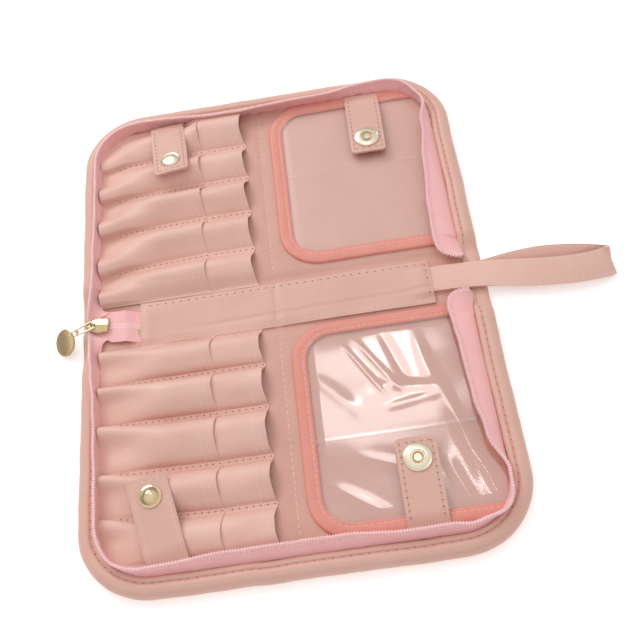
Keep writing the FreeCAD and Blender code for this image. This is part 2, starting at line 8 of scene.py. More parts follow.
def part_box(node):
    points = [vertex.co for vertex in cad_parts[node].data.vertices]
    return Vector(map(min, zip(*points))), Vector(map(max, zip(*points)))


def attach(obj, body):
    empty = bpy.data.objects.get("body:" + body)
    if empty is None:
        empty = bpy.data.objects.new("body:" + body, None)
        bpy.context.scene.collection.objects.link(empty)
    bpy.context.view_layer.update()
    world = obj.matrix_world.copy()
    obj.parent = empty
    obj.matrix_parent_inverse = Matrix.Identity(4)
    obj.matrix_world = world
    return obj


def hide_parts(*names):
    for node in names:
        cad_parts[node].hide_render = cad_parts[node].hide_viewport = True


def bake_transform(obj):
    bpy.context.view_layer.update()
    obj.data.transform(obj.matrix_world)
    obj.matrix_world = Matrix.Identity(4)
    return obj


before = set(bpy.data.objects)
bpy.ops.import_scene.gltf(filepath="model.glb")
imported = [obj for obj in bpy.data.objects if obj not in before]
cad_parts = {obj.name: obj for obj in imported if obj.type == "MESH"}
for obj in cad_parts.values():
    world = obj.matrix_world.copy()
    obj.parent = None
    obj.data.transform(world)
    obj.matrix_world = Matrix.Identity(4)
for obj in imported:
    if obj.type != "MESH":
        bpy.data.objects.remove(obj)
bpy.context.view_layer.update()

mm = 0.001

# ---- Camera -------------------------------------------------------------------------------
# It stands over the near edge, a little to the right of the middle, and looks down on the
# open case from about sixty degrees.
eye = Vector((0.0395, -0.2475, 0.4210))
look = Vector((-0.0420, 0.4891, -0.8712)).normalized()
level = Vector((0.9878, -0.1103, -0.1096))
level = (level - look * level.dot(look)).normalized()
camera = bpy.data.objects.new("camera", bpy.data.cameras.new("camera"))
camera.data.sensor_width = 36.0
camera.data.lens = 50.625
camera.data.clip_start = 0.01
camera.matrix_world = Matrix.Translation(eye) @ Matrix(
    (level, -look.cross(level), -look)
).transposed().to_4x4()
bpy.context.scene.collection.objects.link(camera)
bpy.context.scene.camera = camera

# ---- Outer leather ------------------------------------------------------------------------
# One pink leather-look cover wraps each half: flat underneath, rolled over a soft cord of foam
# at the edge and sewn down again inside it. The cover runs on over the spine.
half_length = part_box("upper_cover")[1].x
far_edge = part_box("upper_cover")[1].y
fold_line = 15 * mm
corner_radius = 37 * mm
roll_section = [
    (12, 0.0), (8, 0.0), (4.2, 0.05), (1.5, 1.0), (0.1, 3.4), (0.3, 5.6), (1.9, 7.6), (4.2, 8.5),
    (6.0, 8.35), (7.0, 7.55), (7.6, 7.9), (8.8, 7.95), (9.8, 7.3), (10.3, 6.2), (10.4, 4.0),
]
spine_roll = 0.46
hidden_floor = 0.08


class Paint:
    """A socket of a material: + - * / on it add Math nodes, and node() adds any other node."""

    def __init__(self, tree, socket=None):
        self.tree = tree
        self.socket = socket

    def node(self, kind, sockets=None, out=0, stops=None, **settings):
        made = self.tree.nodes.new(kind)
        for name, value in settings.items():
            setattr(made, name, value)
        if stops:
            ramp = made.color_ramp.elements
            while len(ramp) < len(stops):
                ramp.new(0.5)
            for element, (place, colour) in zip(ramp, stops):
                element.position = place
                element.color = colour
        for name, value in (sockets or {}).items():
            if isinstance(value, Paint):
                self.tree.links.new(value.socket, made.inputs[name])
            else:
                made.inputs[name].default_value = value
        return Paint(self.tree, made.outputs[out])

    def sum(self, operation, a, b):
        return self.node("ShaderNodeMath", {0: a, 1: b}, operation=operation)

    def __add__(self, other):
        return self.sum("ADD", self, other)

    def __radd__(self, other):
        return self.sum("ADD", other, self)

    def __sub__(self, other):
        return self.sum("SUBTRACT", self, other)

    def __rsub__(self, other):
        return self.sum("SUBTRACT", other, self)

    def __mul__(self, other):
        return self.sum("MULTIPLY", self, other)

    def __rmul__(self, other):
        return self.sum("MULTIPLY", other, self)


def tone(code):
    """Linear colour from a paint chip's hex code."""
    parts = [int(code[i:i + 2], 16) / 255 for i in (1, 3, 5)]
    return tuple(c / 12.92 if c < 0.04045 else ((c + 0.055) / 1.055) ** 2.4 for c in parts) + (1.0,)


def new_finish(name, **sockets):
    """A material with a Principled shader, its plain sockets set, and a Paint to draw with."""
    finish = bpy.data.materials.new(name)
    finish.use_nodes = True
    shader = finish.node_tree.nodes["Principled BSDF"]
    for socket, value in sockets.items():
        shader.inputs[socket.replace("_", " ")].default_value = value
    return finish, shader, Paint(finish.node_tree)


def wire(paint, value, shader, socket):
    paint.tree.links.new(value.socket, shader.inputs[socket])


def mixed(paint, factor, a, b):
    return paint.node("ShaderNodeMix", {0: factor, 6: a, 7: b}, out=2, data_type="RGBA")


def two_tone(name, kind, pattern, colours, **sockets):
    """A finish whose colour runs between two colours as one texture node says."""
    finish, shader, paint = new_finish(name, **sockets)
    place = paint.node("ShaderNodeTexCoord", out=3)
    share = paint.node(kind, {"Vector": place, **pattern})
    wire(paint, mixed(paint, share, tone(colours[0]), tone(colours[1])), shader, "Base Color")
    return finish


def leather_finish(name, light, dark, deep):
    """Soft coated leather: pebble grain, faint blotches, and painted shade: a deeper colour down in its
    folds and hollows, where the piece keeps light off itself.
    """
    finish, shader, paint = new_finish(
        name, Specular_IOR_Level=0.42, Sheen_Weight=0.12, Sheen_Roughness=0.5
    )
    place = paint.node("ShaderNodeTexCoord", out=3)
    blotch = paint.node("ShaderNodeTexNoise", {"Vector": place, "Scale": 42.0, "Detail": 3.0})
    cells = paint.node(
        "ShaderNodeTexVoronoi", {"Vector": place, "Scale": 1250.0}, feature="SMOOTH_F1"
    )
    fine = paint.node("ShaderNodeTexNoise", {"Vector": place, "Scale": 3200.0, "Detail": 2.0})
    pores = cells * 0.8 + fine * 0.35
    shade = (blotch - 0.5) * 0.9 + (pores - 0.5) * 0.35 + 0.5
    # painted shade: where the piece's own surface closes in within 8 mm, the colour goes over to the deep
    # one
    open_air = paint.node(
        "ShaderNodeAmbientOcclusion", {"Distance": 0.008}, out=1, samples=6, only_local=True
    )
    surface = mixed(paint, shade, tone(light), tone(dark))
    wire(paint, mixed(paint, open_air, tone(deep), surface), shader, "Base Color")
    wire(paint, 0.46 + (blotch - 0.5) * 0.16 + (fine - 0.5) * 0.1, shader, "Roughness")
    bump = paint.node("ShaderNodeBump", {"Strength": 0.32, "Distance": 0.00022, "Height": pores})
    wire(paint, bump, shader, "Normal")
    return finish


# the last colour of each leather finish is its painted shade in folds and hollows
leather = leather_finish("pink_leather", "#e3b8aa", "#d5a697", "#c07466")


def smooth(value):
    value = min(1.0, max(0.0, value))
    return value * value * (3 - 2 * value)


def through(points, share):
    """Point on a smooth line through the points, at a share of the way along it."""
    span = min(1.0, max(0.0, share)) * (len(points) - 1)
    i = min(int(span), len(points) - 2)
    f = span - i
    a, b, c, d = (Vector(points[max(0, min(len(points) - 1, i + k))]) for k in (-1, 0, 1, 2))
    line = 2 * b + (c - a) * f
    return 0.5 * (line + (2 * a - 5 * b + 4 * c - d) * f * f + (3 * (b - c) + d - a) * f ** 3)


def wave(x, y, seed, scale):
    """Slow random swell, from -1 to 1."""
    return noise.noise(Vector((x / scale, y / scale, seed * 7.31)))


def edge_point(share, inset=0.0):
    """Place and inward direction on the upper half's outline, from right round to left."""
    x = half_length - inset
    y = far_edge - inset
    r = corner_radius - inset
    side = y - r
    bend = r * math.pi / 2
    half = side + bend + x - r
    s = share * 2 * half
    way = 1 if s <= half else -1
    s = s if s <= half else 2 * half - s
    if s < side:
        return Vector((x * way, s, 0)), Vector((-way, 0, 0))
    if s < side + bend:
        a = (s - side) / r
        out = Vector((math.cos(a), math.sin(a), 0))
        spot = Vector((x - r, y - r, 0)) + out * r
        return Vector((spot.x * way, spot.y, 0)), Vector((-out.x * way, -out.y, 0))
    return Vector((way * (x - r - (s - side - bend)), y, 0)), Vector((0, -1, 0))


def laid_grid(name, cells_u, cells_v, surface):
    """A grid of small faces laid on surface(u, v), where u and v run from 0 to 1."""
    bpy.ops.object.select_all(action="DESELECT")
    bpy.ops.mesh.primitive_grid_add(x_subdivisions=cells_u, y_subdivisions=cells_v, size=1)
    piece = bpy.context.object
    piece.name = name
    piece.data.name = name
    for vertex in piece.data.vertices:
        vertex.co = surface(vertex.co.x + 0.5, vertex.co.y + 0.5)
    return piece


def close_up(piece, outward=True):
    """Merge points that coincide and turn every face outwards."""
    bpy.context.view_layer.objects.active = piece
    bpy.ops.object.mode_set(mode="EDIT")
    bpy.ops.mesh.select_all(action="SELECT")
    bpy.ops.mesh.remove_doubles(threshold=0.00001)
    if outward:
        bpy.ops.mesh.normals_make_consistent(inside=False)
    bpy.ops.object.mode_set(mode="OBJECT")


def finish_sheet(piece, finish, thickness=0.0, offset=-1.0, face_up=True):
    """Turn a sheet's good side up, give it its thickness and its finish."""
    if face_up and sum(f.normal.z * f.area for f in piece.data.polygons) < 0:
        piece.data.flip_normals()
    bpy.context.view_layer.objects.active = piece
    if thickness:
        wall = piece.modifiers.new("thickness", "SOLIDIFY")
        wall.thickness = thickness
        wall.offset = offset
        bpy.ops.object.modifier_apply(modifier=wall.name)
    piece.data.materials.clear()
    piece.data.materials.append(finish)
    piece.select_set(True)
    bpy.ops.object.shade_smooth_by_angle(angle=math.radians(50))


def bend_at_fold(piece, half, start=13.2 * mm, end=16.8 * mm):
    """Bake the piece's placement into its mesh; the piece is not bent at the fold line."""
    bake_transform(piece)


def mirrored(surface, half):
    """The same surface on the lower half: its mirror image across the spine."""
    if half == "upper":
        return surface
    return lambda u, v: Vector((1, -1, 1)) * surface(u, v)


def outer_surface(seed):
    """The cover's skin: u runs round the edge, v from the middle of the bottom over the roll."""
    def surface(u, v):
        spot, inward = edge_point(u)
        full = spine_roll + (1 - spine_roll) * smooth((spot.y - fold_line) / (12 * mm))
        if v < hidden_floor:
            ring = spot + inward * roll_section[0][0] * mm
            hub = Vector((0, min(ring.y, far_edge - corner_radius), 0))
            return hub.lerp(ring, v / hidden_floor)
        inset, z = through(roll_section, (v - hidden_floor) / (1 - hidden_floor))
        swell = wave(spot.x, spot.y, seed, 26 * mm) + 0.5 * wave(spot.x, spot.y, seed + 3, 9 * mm)
        lifted = smooth(z / 4)
        inset += 0.6 * swell * lifted
        z = z * full + 0.25 * swell * lifted * full
        return spot + inward * inset * mm + Vector((0, 0, max(0.0, z) * mm))
    return surface


cover_seeds = {"lower": 1, "upper": 10}
for half in ("lower", "upper"):
    surface = mirrored(outer_surface(cover_seeds[half]), half)
    cover = laid_grid("outer_leather_" + half, 330, 46, surface)
    close_up(cover)
    finish_sheet(cover, leather, thickness=0.9 * mm, face_up=False)
    bend_at_fold(cover, half)
    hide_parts(half + "_cover", half + "_rim_padding")
    if half == "lower":
        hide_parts("spine_cover")

# ---- Seams --------------------------------------------------------------------------------
# Lockstitches in polyester thread. Each one is a short bar with both ends bent down into the
# leather. The hems show pale thread; the pressed seams show at each stitch a small dark disc of
# painted shade, standing for the shadow down in its needle hole.
stitch_height = 0.36 * mm


def thread_finish(name, dark, light, roughness):
    finish, shader, paint = new_finish(name, Roughness=roughness, Sheen_Weight=0.3)
    ply = paint.node("ShaderNodeTexWave", {
        "Vector": paint.node("ShaderNodeTexCoord", out=3), "Scale": 900.0, "Distortion": 2.0,
    }, bands_direction="DIAGONAL")
    wire(paint, mixed(paint, ply, tone(dark), tone(light)), shader, "Base Color")
    return finish


pale_thread = thread_finish("pale_thread", "#e3bdb1", "#f2dad1", 0.6)
rose_thread = thread_finish("rose_thread", "#bd897b", "#d2a496", 0.65)
# painted shade: the dark brown of the shadow down inside a needle hole
hole_shadow = two_tone(
    "hole_shadow", "ShaderNodeTexNoise", {"Scale": 2500.0}, ("#7d4a40", "#a06457"),
    Roughness=0.9, Specular_IOR_Level=0.1,
)


def stitch_model(length, width, hole):
    """One stitch along X, its ends bent down, and past one end, if asked, a round dark disc of painted
    shade for the shadow in its needle hole.
    """
    bpy.ops.object.select_all(action="DESELECT")
    bpy.ops.mesh.primitive_cube_add(size=1)
    bar = bpy.context.object
    bar.scale = (length, width, stitch_height)
    bpy.ops.object.transform_apply(scale=True)
    bpy.ops.object.mode_set(mode="EDIT")
    bpy.ops.mesh.select_all(action="SELECT")
    bpy.ops.mesh.bevel(offset=width * 0.28, segments=1)
    bpy.ops.object.mode_set(mode="OBJECT")
    for vertex in bar.data.vertices:
        if abs(vertex.co.x) > length * 0.4:
            vertex.co.z -= 0.25 * mm
    bar.data.materials.append(pale_thread)
    bar.data.materials.append(hole_shadow)
    model = bmesh.new()
    model.from_mesh(bar.data)
    if hole:
        # a flat dark disc where the needle went through: painted shade of the hole
        ring = bmesh.ops.create_circle(
            model, cap_ends=True, radius=hole, segments=8,
            matrix=Matrix.Translation((length / 2 + hole * 0.5, 0, stitch_height * 0.12)),
        )
        for face in {f for v in ring["verts"] for f in v.link_faces}:
            face.material_index = 1
    bpy.data.objects.remove(bar)
    return model


def sewn_line(surface, start, end, pitch, lift=0.1 * mm):
    """Places for stitches on surface(u, v), from one (u, v) to another, a pitch apart."""
    a, b = Vector(start), Vector(end)
    steps = 40 if abs(a.x - b.x) < 0.5 else 700
    line = [surface(*a.lerp(b, i / steps)) for i in range(steps + 1)]
    run = [0.0]
    for near, far in zip(line, line[1:]):
        run.append(run[-1] + (far - near).length)
    count = max(1, int(run[-1] / pitch))
    places = []
    at = 0
    small = 0.003
    for i in range(count):
        wanted = (i + 0.5) * run[-1] / count
        while run[at + 1] < wanted:
            at += 1
        share = (wanted - run[at]) / max(1e-9, run[at + 1] - run[at])
        spot = line[at].lerp(line[at + 1], share)
        u, v = a.lerp(b, (at + share) / steps)
        way = (line[at + 1] - line[at]).normalized()
        du = surface(min(1, u + small), v) - surface(max(0, u - small), v)
        dv = surface(u, min(1, v + small)) - surface(u, max(0, v - small))
        up = du.cross(dv).normalized()
        up = up if up.z > 0 else -up
        across = up.cross(way).normalized()
        up = way.cross(across).normalized()
        turn = Matrix((way, across, up)).transposed().to_4x4()
        places.append(Matrix.Translation(spot + up * lift) @ turn)
    return places


def repeated(name, model, places, finishes):
    """One piece made of a small model copied to every place."""
    model_mesh = bpy.data.meshes.new(name + "_one")
    model.to_mesh(model_mesh)
    whole = bmesh.new()
    for place in places:
        copy = model_mesh.copy()
        copy.transform(place)
        whole.from_mesh(copy)
        bpy.data.meshes.remove(copy)
    mesh = bpy.data.meshes.new(name)
    whole.to_mesh(mesh)
    whole.free()
    bpy.data.meshes.remove(model_mesh)
    piece = bpy.data.objects.new(name, mesh)
    bpy.context.scene.collection.objects.link(piece)
    for finish in finishes:
        mesh.materials.append(finish)
    return piece


hem_stitch = stitch_model(2.2 * mm, 0.42 * mm, 0)
pricked_stitch = stitch_model(2.0 * mm, 0.5 * mm, 0.36 * mm)
hem_look = (pale_thread, hole_shadow)
pricked_look = (rose_thread, hole_shadow)

# The cover is closed by a seam that runs all round in the groove inside the roll.
groove_point = 9
rim_seam_ends = (0.036, 0.964)
groove_share = hidden_floor + (1 - hidden_floor) * groove_point / (len(roll_section) - 1)
for half in ("lower", "upper"):
    surface = mirrored(outer_surface(cover_seeds[half]), half)
    start, end = ((share, groove_share) for share in rim_seam_ends)
    places = sewn_line(surface, start, end, 4.2 * mm, lift=0.05 * mm)
    seam = repeated("rim_seam_" + half, pricked_stitch, places, pricked_look)
    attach(seam, half + "_half")

# ---- Lining -------------------------------------------------------------------------------
# The same leather-look sheet lies over each stiffener board and dips into the two folds. A
# seam down the middle of each half parts the slots from the pocket.
# painted shade: a darker, deeper copy of the same pink leather for the lining; its last colour is painted
# shade in the folds
shaded_lining_leather = leather_finish("shaded_lining_leather", "#dcab9d", "#cd998a", "#b87263")
rim_width = 10.6 * mm
lining_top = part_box("upper_lining")[1].z
spine_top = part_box("spine_lining")[1].z + 0.9 * mm
divider_x = -2.9 * mm


def floor_height(x, y):
    """Top of the lining: low on the spine, with a dip at each fold and at the middle seam."""
    rise = smooth((abs(y) - 15.2 * mm) / (6 * mm))
    dip = math.exp(-((abs(y) - 15.6 * mm) / (1.6 * mm)) ** 2)
    seam = math.exp(-((x - divider_x) / (1.6 * mm)) ** 2)
    height = spine_top + (lining_top - spine_top) * rise - 0.16 * mm * dip - 0.28 * mm * seam * rise
    return height + 0.18 * mm * wave(x, y, 5, 22 * mm) * rise


def lining_surface(u, v):
    y = v * (far_edge - rim_width)
    r = corner_radius - rim_width
    beyond = max(0.0, y - (far_edge - corner_radius))
    x = (half_length - corner_radius + math.sqrt(max(0.0, r * r - beyond * beyond))) * (2 * u - 1)
    return Vector((x, y, floor_height(x, y)))


for half in ("lower", "upper"):
    lining = laid_grid("lining_" + half, 130, 190, mirrored(lining_surface, half))
    finish_sheet(lining, shaded_lining_leather, thickness=0.6 * mm)
    bend_at_fold(lining, half)
    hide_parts(half + "_lining")
    if half == "lower":
        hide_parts("spine_lining")
    u = 0.5 + divider_x / (2 * (half_length - rim_width))
    surface = mirrored(lining_surface, half)
    places = sewn_line(surface, (u, 0.16), (u, 0.985), 3.6 * mm, lift=0.16 * mm)
    seam = repeated("divider_seam_" + half, hem_stitch, places, hem_look)
    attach(seam, half + "_half")

# ---- Boards and foam ----------------------------------------------------------------------
# Grey card stiffens each half and the spine; in the halves a thin sheet of foam lies over it.
# They are closed in between the cover and the lining.
card = two_tone(
    "grey_card", "ShaderNodeTexNoise", {"Scale": 900.0, "Detail": 4.0}, ("#8d857c", "#a79e92"),
    Roughness=0.9,
)
foam = two_tone(
    "white_foam", "ShaderNodeTexVoronoi", {"Scale": 1600.0}, ("#f1ede6", "#cfc8be"),
    Roughness=0.95,
)
for node, finish in (
    ("lower_board", card), ("upper_board", card), ("spine_board", card),
    ("lower_foam", foam), ("upper_foam", foam),
):
    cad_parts[node].data.materials.clear()
    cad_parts[node].data.materials.append(finish)

# ---- Slot sleeves -------------------------------------------------------------------------
# A wide leather strip is sewn down across the panel at six lines and left slack between them,
# so that it stands in a row of open tubes. Its slack is pleated at the sewn left end, and its
# open right end overlaps a narrower band made in the same way.
# painted light: a lighter copy of the same pink leather, so that the sleeves, the bands and the strap,
# which lie in shade, come out as light as the rest; its last colour is painted shade in the folds
lit_leather = leather_finish("lit_leather", "#edc4b6", "#dfb0a1", "#b96a5b")
slot_lines = {
    "lower": (13.6, 35.3, 59.1, 86.0, 110.1, 133.0),
    "upper": (13.6, 37.7, 63.0, 87.7, 112.0, 135.6),
}
crest_places = {"lower": (0.42, 0.36, 0.38, 0.42, 0.45), "upper": (0.58, 0.6, 0.6, 0.58, 0.55)}
crest_heights = {"lower": (5.4, 7.4, 7.6, 6.6, 4.4), "upper": (6.2, 7.8, 7.8, 7.0, 4.8)}
left_pull = {"lower": (0.0, -0.6, 1.9, 2.8, 5.0, 4.0), "upper": (0.0, 6.4, 5.0, 4.9, 6.0, 3.0)}
sleeve_left = -99.3 * mm
sleeve_right = -38.0 * mm
sleeve_sheet = 0.75 * mm
loops = 5
ledge = 0.065
# how far the farthest loop of the upper sleeve gapes up at its open corner
gape = 6.2 * mm


def loop_height(half, loop, s, x):
    """Height of a loop over the lining at a share s of the way over it."""
    slack = smooth((x - sleeve_left) / (38 * mm))
    power = math.log(0.5) / math.log(crest_places[half][loop])
    rim = ledge * smooth((x - sleeve_left) / (20 * mm))
    free = min(1.0, max(0.0, (s - rim) / (1 - 2 * rim)))
    steep = 0.7 + 0.6 * s if half == "upper" else 1.05 - 0.4 * s
    round_loop = max(0.0, math.sin(math.pi * free ** power)) ** steep
    pulled_at, pulled_wide = (0.24, 0.3) if half == "upper" else (0.17, 0.22)
    ends = smooth(s / 0.08) * smooth((1 - s) / 0.3)
    pulled_loop = 0.8 * math.exp(-((s - pulled_at) / pulled_wide) ** 2) * ends
    return crest_heights[half][loop] * mm * (pulled_loop + (round_loop - pulled_loop) * slack)


def sleeve_surface(half, seed, left, right, scale=1.0, sink=0.0):
    """The row of loops from x left to x right: u runs along the tubes, v over them."""
    lines = [line * mm for line in slot_lines[half]]
    pulls = [pull * mm for pull in left_pull[half]]

    def surface(u, v):
        loop = min(int(v * loops), loops - 1)
        s = v * loops - loop
        y = lines[loop] + (lines[loop + 1] - lines[loop]) * s
        arch = math.sin(math.pi * s)
        edge = right - 2.5 * mm * arch ** 0.8 - 0.5 * mm * wave(0, y, seed + 2, 7 * mm) + 0.8 * mm
        x = left + (edge - left) * u
        along = min(1.0, max(0.0, (x - sleeve_left) / (59 * mm)))
        pull = 0.5 * (1 - along) + 0.5 * (1 - smooth(along / 0.3))
        y -= (pulls[loop] + (pulls[loop + 1] - pulls[loop]) * s) * pull
        rise = loop_height(half, loop, s, x) * scale
        rise *= 1 + 0.12 * wave(x, y, seed, 24 * mm)
        fold = 0.6 * mm * wave(x, 2.4 * y, seed + 1, 19 * mm) * arch
        if half == "upper" and loop == loops - 1:
            rise += gape * smooth((x + 52 * mm) / (16 * mm)) * s ** 1.6
        z = floor_height(x, y) + sleeve_sheet + 0.15 * mm - sink + rise + fold
        return Vector((x, y, z))
    return mirrored(surface, half)


for seed, half in enumerate(("lower", "upper")):
    surface = sleeve_surface(half, 20 + seed * 5, sleeve_left, sleeve_right)
    sleeve = laid_grid(half + "_sleeve", 96, 260, surface)
    finish_sheet(sleeve, lit_leather, thickness=sleeve_sheet)
    band_surface = sleeve_surface(
        half, 40 + seed * 5, sleeve_right - 5 * mm, -12.2 * mm, scale=0.82, sink=0.3 * mm
    )
    band = laid_grid(half + "_band", 44, 260, band_surface)
    finish_sheet(band, lit_leather, thickness=sleeve_sheet)
    seams = []
    hems = []
    for line in range(1, loops):
        seams += sewn_line(surface, (0.13, line / loops), (0.985, line / loops), 3.2 * mm)
        seams += sewn_line(band_surface, (0.2, line / loops), (0.97, line / loops), 3.2 * mm)
    for loop in range(loops):
        rows = (loop + 0.07) / loops, (loop + 0.93) / loops
        for u in (0.885, 0.935):
            hems += sewn_line(surface, (u, rows[0]), (u, rows[1]), 3.1 * mm)
        for u in (0.78, 0.885):
            hems += sewn_line(band_surface, (u, rows[0]), (u, rows[1]), 3.1 * mm)
    seam = repeated(half + "_slot_seams", pricked_stitch, seams, pricked_look)
    hem = repeated(half + "_slot_hems", hem_stitch, hems, hem_look)
    for piece in (sleeve, band, hem):
        bend_at_fold(piece, half)
    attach(seam, half + "_half")
    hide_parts(half + "_slot_sleeve")
    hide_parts(half + "_slot_band")

# ---- Clear pockets ------------------------------------------------------------------------
# A clear vinyl window is bound all round with a folded coral tape and sewn to the lining. Its
# front is two lapped sheets, creased by use in the lower half and flat in the upper half.
pocket_left = {"lower": 2.2 * mm, "upper": 3.0 * mm}
pocket_near = {"lower": 15.6 * mm, "upper": 21.6 * mm}
pocket_far = {"lower": 132.6 * mm, "upper": 137.0 * mm}
pocket_right = {"lower": 106.0 * mm, "upper": 103.5 * mm}
window_right = 99.2 * mm
pocket_corner = 22 * mm
hidden_corner = 9 * mm
binding_section = [
    (0.0, -0.2), (0.1, 1.0), (0.9, 1.6), (2.8, 1.85), (4.6, 1.75), (5.7, 1.5), (6.7, 1.55),
    (7.6, 1.2), (7.8, 0.5),
]
stitched_at = 5 / 8
# the right end of the binding is caught under the zip tape and pressed flat from here on
tuck_start = 97.0 * mm
tuck_width = 3.5 * mm
tuck_height = 2.1 * mm
tuck_squeeze = 0.81
# where the near sheet ends and the far sheet starts
slit_ends = {"lower": (83.3 * mm, 81.3 * mm), "upper": (83.7 * mm, 83.3 * mm)}
vinyl = 0.3 * mm
bound_width = 7.2


def pocket_edge(half, share, inset):
    """Place and inward direction on a pocket's rounded outline, all the way round."""
    x0, x1 = pocket_left[half], pocket_right[half]
    y0, y1 = pocket_near[half], pocket_far[half]
    corners = (
        (x1, y0, hidden_corner), (x1, y1, hidden_corner),
        (x0, y1, pocket_corner), (x0, y0, pocket_corner),
    )
    runs = []
    turn = -math.pi / 2
    for i, (x, y, r) in enumerate(corners):
        sx = -1 if x == x1 else 1
        sy = -1 if y == y1 else 1
        centre = Vector((x + sx * r, y + sy * r, 0))
        following = corners[(i + 1) % 4]
        fx = -1 if following[0] == x1 else 1
        fy = -1 if following[1] == y1 else 1
        end = Vector((following[0] + fx * following[2], following[1] + fy * following[2], 0))
        out = Vector((math.cos(turn + math.pi / 2), math.sin(turn + math.pi / 2), 0))
        runs.append(("bend", centre, r, turn, r * math.pi / 2))
        runs.append(("run", centre + out * r, out, end + out * following[2], (end - centre).length))
        turn += math.pi / 2
    s = (share % 1.0) * sum(run[-1] for run in runs)
    for kind, a, b, c, length in runs:
        if s <= length:
            break
        s -= length
    if kind == "bend":
        angle = c + s / b
        out = Vector((math.cos(angle), math.sin(angle), 0))
        return a + out * (b - inset), -out
    return a.lerp(c, s / length) - b * inset, -b


def binding_surface(half, seed):
    """The folded tape: u runs round the pocket, v over the tape from outside to inside."""
    def surface(u, v):
        inset, z = through(binding_section, v)
        spot, inward = pocket_edge(half, u, inset * mm)
        pucker = 0.22 * wave(spot.x, spot.y, seed, 6 * mm) * smooth(z)
        z = floor_height(spot.x, spot.y) + (z + pucker) * mm
        tucked = smooth((spot.x - tuck_start) / tuck_width)
        return spot + Vector((0, 0, z + (tuck_height - tuck_squeeze * z) * tucked))
    return mirrored(surface, half)


# creases in the vinyl: middle x and y, direction and reach in x and y, height, width, in mm
creases = [
    (46, 46, 9, 15, 0.5, 1.6), (39, 48, 8, 14, 0.5, 1.3), (55, 42, 5, 16, -0.6, 3.0),
    (70, 52, 3, 22, 0.7, 3.2), (79, 80, 6, 28, 0.8, 2.6), (86, 98, 7, 24, 0.7, 2.2),
    (62, 60, 16, 3, 0.4, 3.0), (60, 68, 14, -2, 0.35, 2.4), (32, 118, 14, 10, 0.8, 3.5),
    (48, 100, 16, 6, 0.6, 3.0), (24, 60, 10, 12, 0.5, 4.0), (78, 118, 5, 14, 0.6, 2.4),
]


def window_height(half, x, y, far_sheet):
    """Height of the clear sheet over the lining: creased in the lower half, else nearly flat."""
    from_edge = min(x - pocket_left[half], y - pocket_near[half], pocket_far[half] - y) / mm
    loose = smooth((from_edge - bound_width) / 5)
    if half == "upper":
        return (1.05 + (0.45 + 0.1 * wave(x, y, 61, 40 * mm)) * loose) * mm
    broad = 0.5 * wave(x + 0.3 * y, y, 62, 30 * mm) + 0.12 * wave(x, y, 63, 13 * mm)
    ridge = 0.0
    for cx, cy, dx, dy, tall, wide in creases:
        along = Vector((dx, dy)).normalized()
        away = Vector((x / mm - cx, y / mm - cy))
        off = away.x * along.y - away.y * along.x
        down = away.dot(along)
        reach = Vector((dx, dy)).length
        ridge += tall * math.exp(-(off / wide) ** 2) * math.exp(-(down / reach) ** 4)
    height = 1.05 + (0.65 + 0.5 * broad + 0.5 * ridge) * loose
    if far_sheet:
        return height * mm
    return (height + 0.7 * smooth((y / mm - 40) / 40) * loose) * mm


def window_surface(half, near, far, far_sheet):
    r = pocket_corner - 3 * mm

    def surface(u, v):
        y = near + (far - near) * v
        past_near = pocket_near[half] + pocket_corner - y
        past_far = y - (pocket_far[half] - pocket_corner)
        past = max(0.0, past_near, past_far)
        left = pocket_left[half] + pocket_corner - math.sqrt(max(0.0, r * r - past * past))
        x = left + (window_right - left) * u
        return Vector((x, y, floor_height(x, y) + window_height(half, x, y, far_sheet)))
    return mirrored(surface, half)


coral, coral_shader, coral_paint = new_finish(
    "coral_binding", Specular_IOR_Level=0.45, Sheen_Weight=0.15
)
place = coral_paint.node("ShaderNodeTexCoord", out=3)
weave = coral_paint.node("ShaderNodeTexNoise", {"Vector": place, "Scale": 1800.0, "Detail": 3.0})
fade = coral_paint.node("ShaderNodeTexNoise", {"Vector": place, "Scale": 60.0})
faded = mixed(coral_paint, fade * 0.7 + weave * 0.3, tone("#ea9c8d"), tone("#db8a7a"))
wire(coral_paint, faded, coral_shader, "Base Color")
wire(coral_paint, 0.42 + weave * 0.14, coral_shader, "Roughness")
bump = coral_paint.node("ShaderNodeBump", {"Strength": 0.3, "Distance": 0.00015, "Height": weave})
wire(coral_paint, bump, coral_shader, "Normal")


def clear_finish(name, haze, shine, roughness):
    """Clear vinyl: what lies behind it shows through, under a sharp or a soft mirror."""
    finish, shader, paint = new_finish(name, Metallic=1.0, Base_Color=(1.0, 0.985, 0.975, 1.0))
    place = paint.node("ShaderNodeTexCoord", out=3)
    scuff = paint.node("ShaderNodeTexNoise", {"Vector": place, "Scale": 500.0, "Detail": 3.0})
    wire(paint, roughness + (scuff - 0.5) * (roughness * 0.6), shader, "Roughness")
    glaze = paint.node("ShaderNodeFresnel", {"IOR": 1.5})
    front = 1.0 - paint.node("ShaderNodeNewGeometry", out=6)
    see = paint.node("ShaderNodeBsdfTransparent", {"Color": (0.995, 0.985, 0.98, 1.0)})
    both = paint.node("ShaderNodeMixShader", {0: (haze + glaze * shine) * front, 1: see})
    paint.tree.links.new(shader.outputs[0], both.socket.node.inputs[2])
    out = paint.tree.nodes["Material Output"]
    paint.tree.links.new(both.socket, out.inputs["Surface"])
    return finish


window_finish = {
    "lower": clear_finish("glossy_vinyl", 0.09, 1.4, 0.1),
    "upper": clear_finish("matte_vinyl", 0.1, 0.5, 0.5),
}

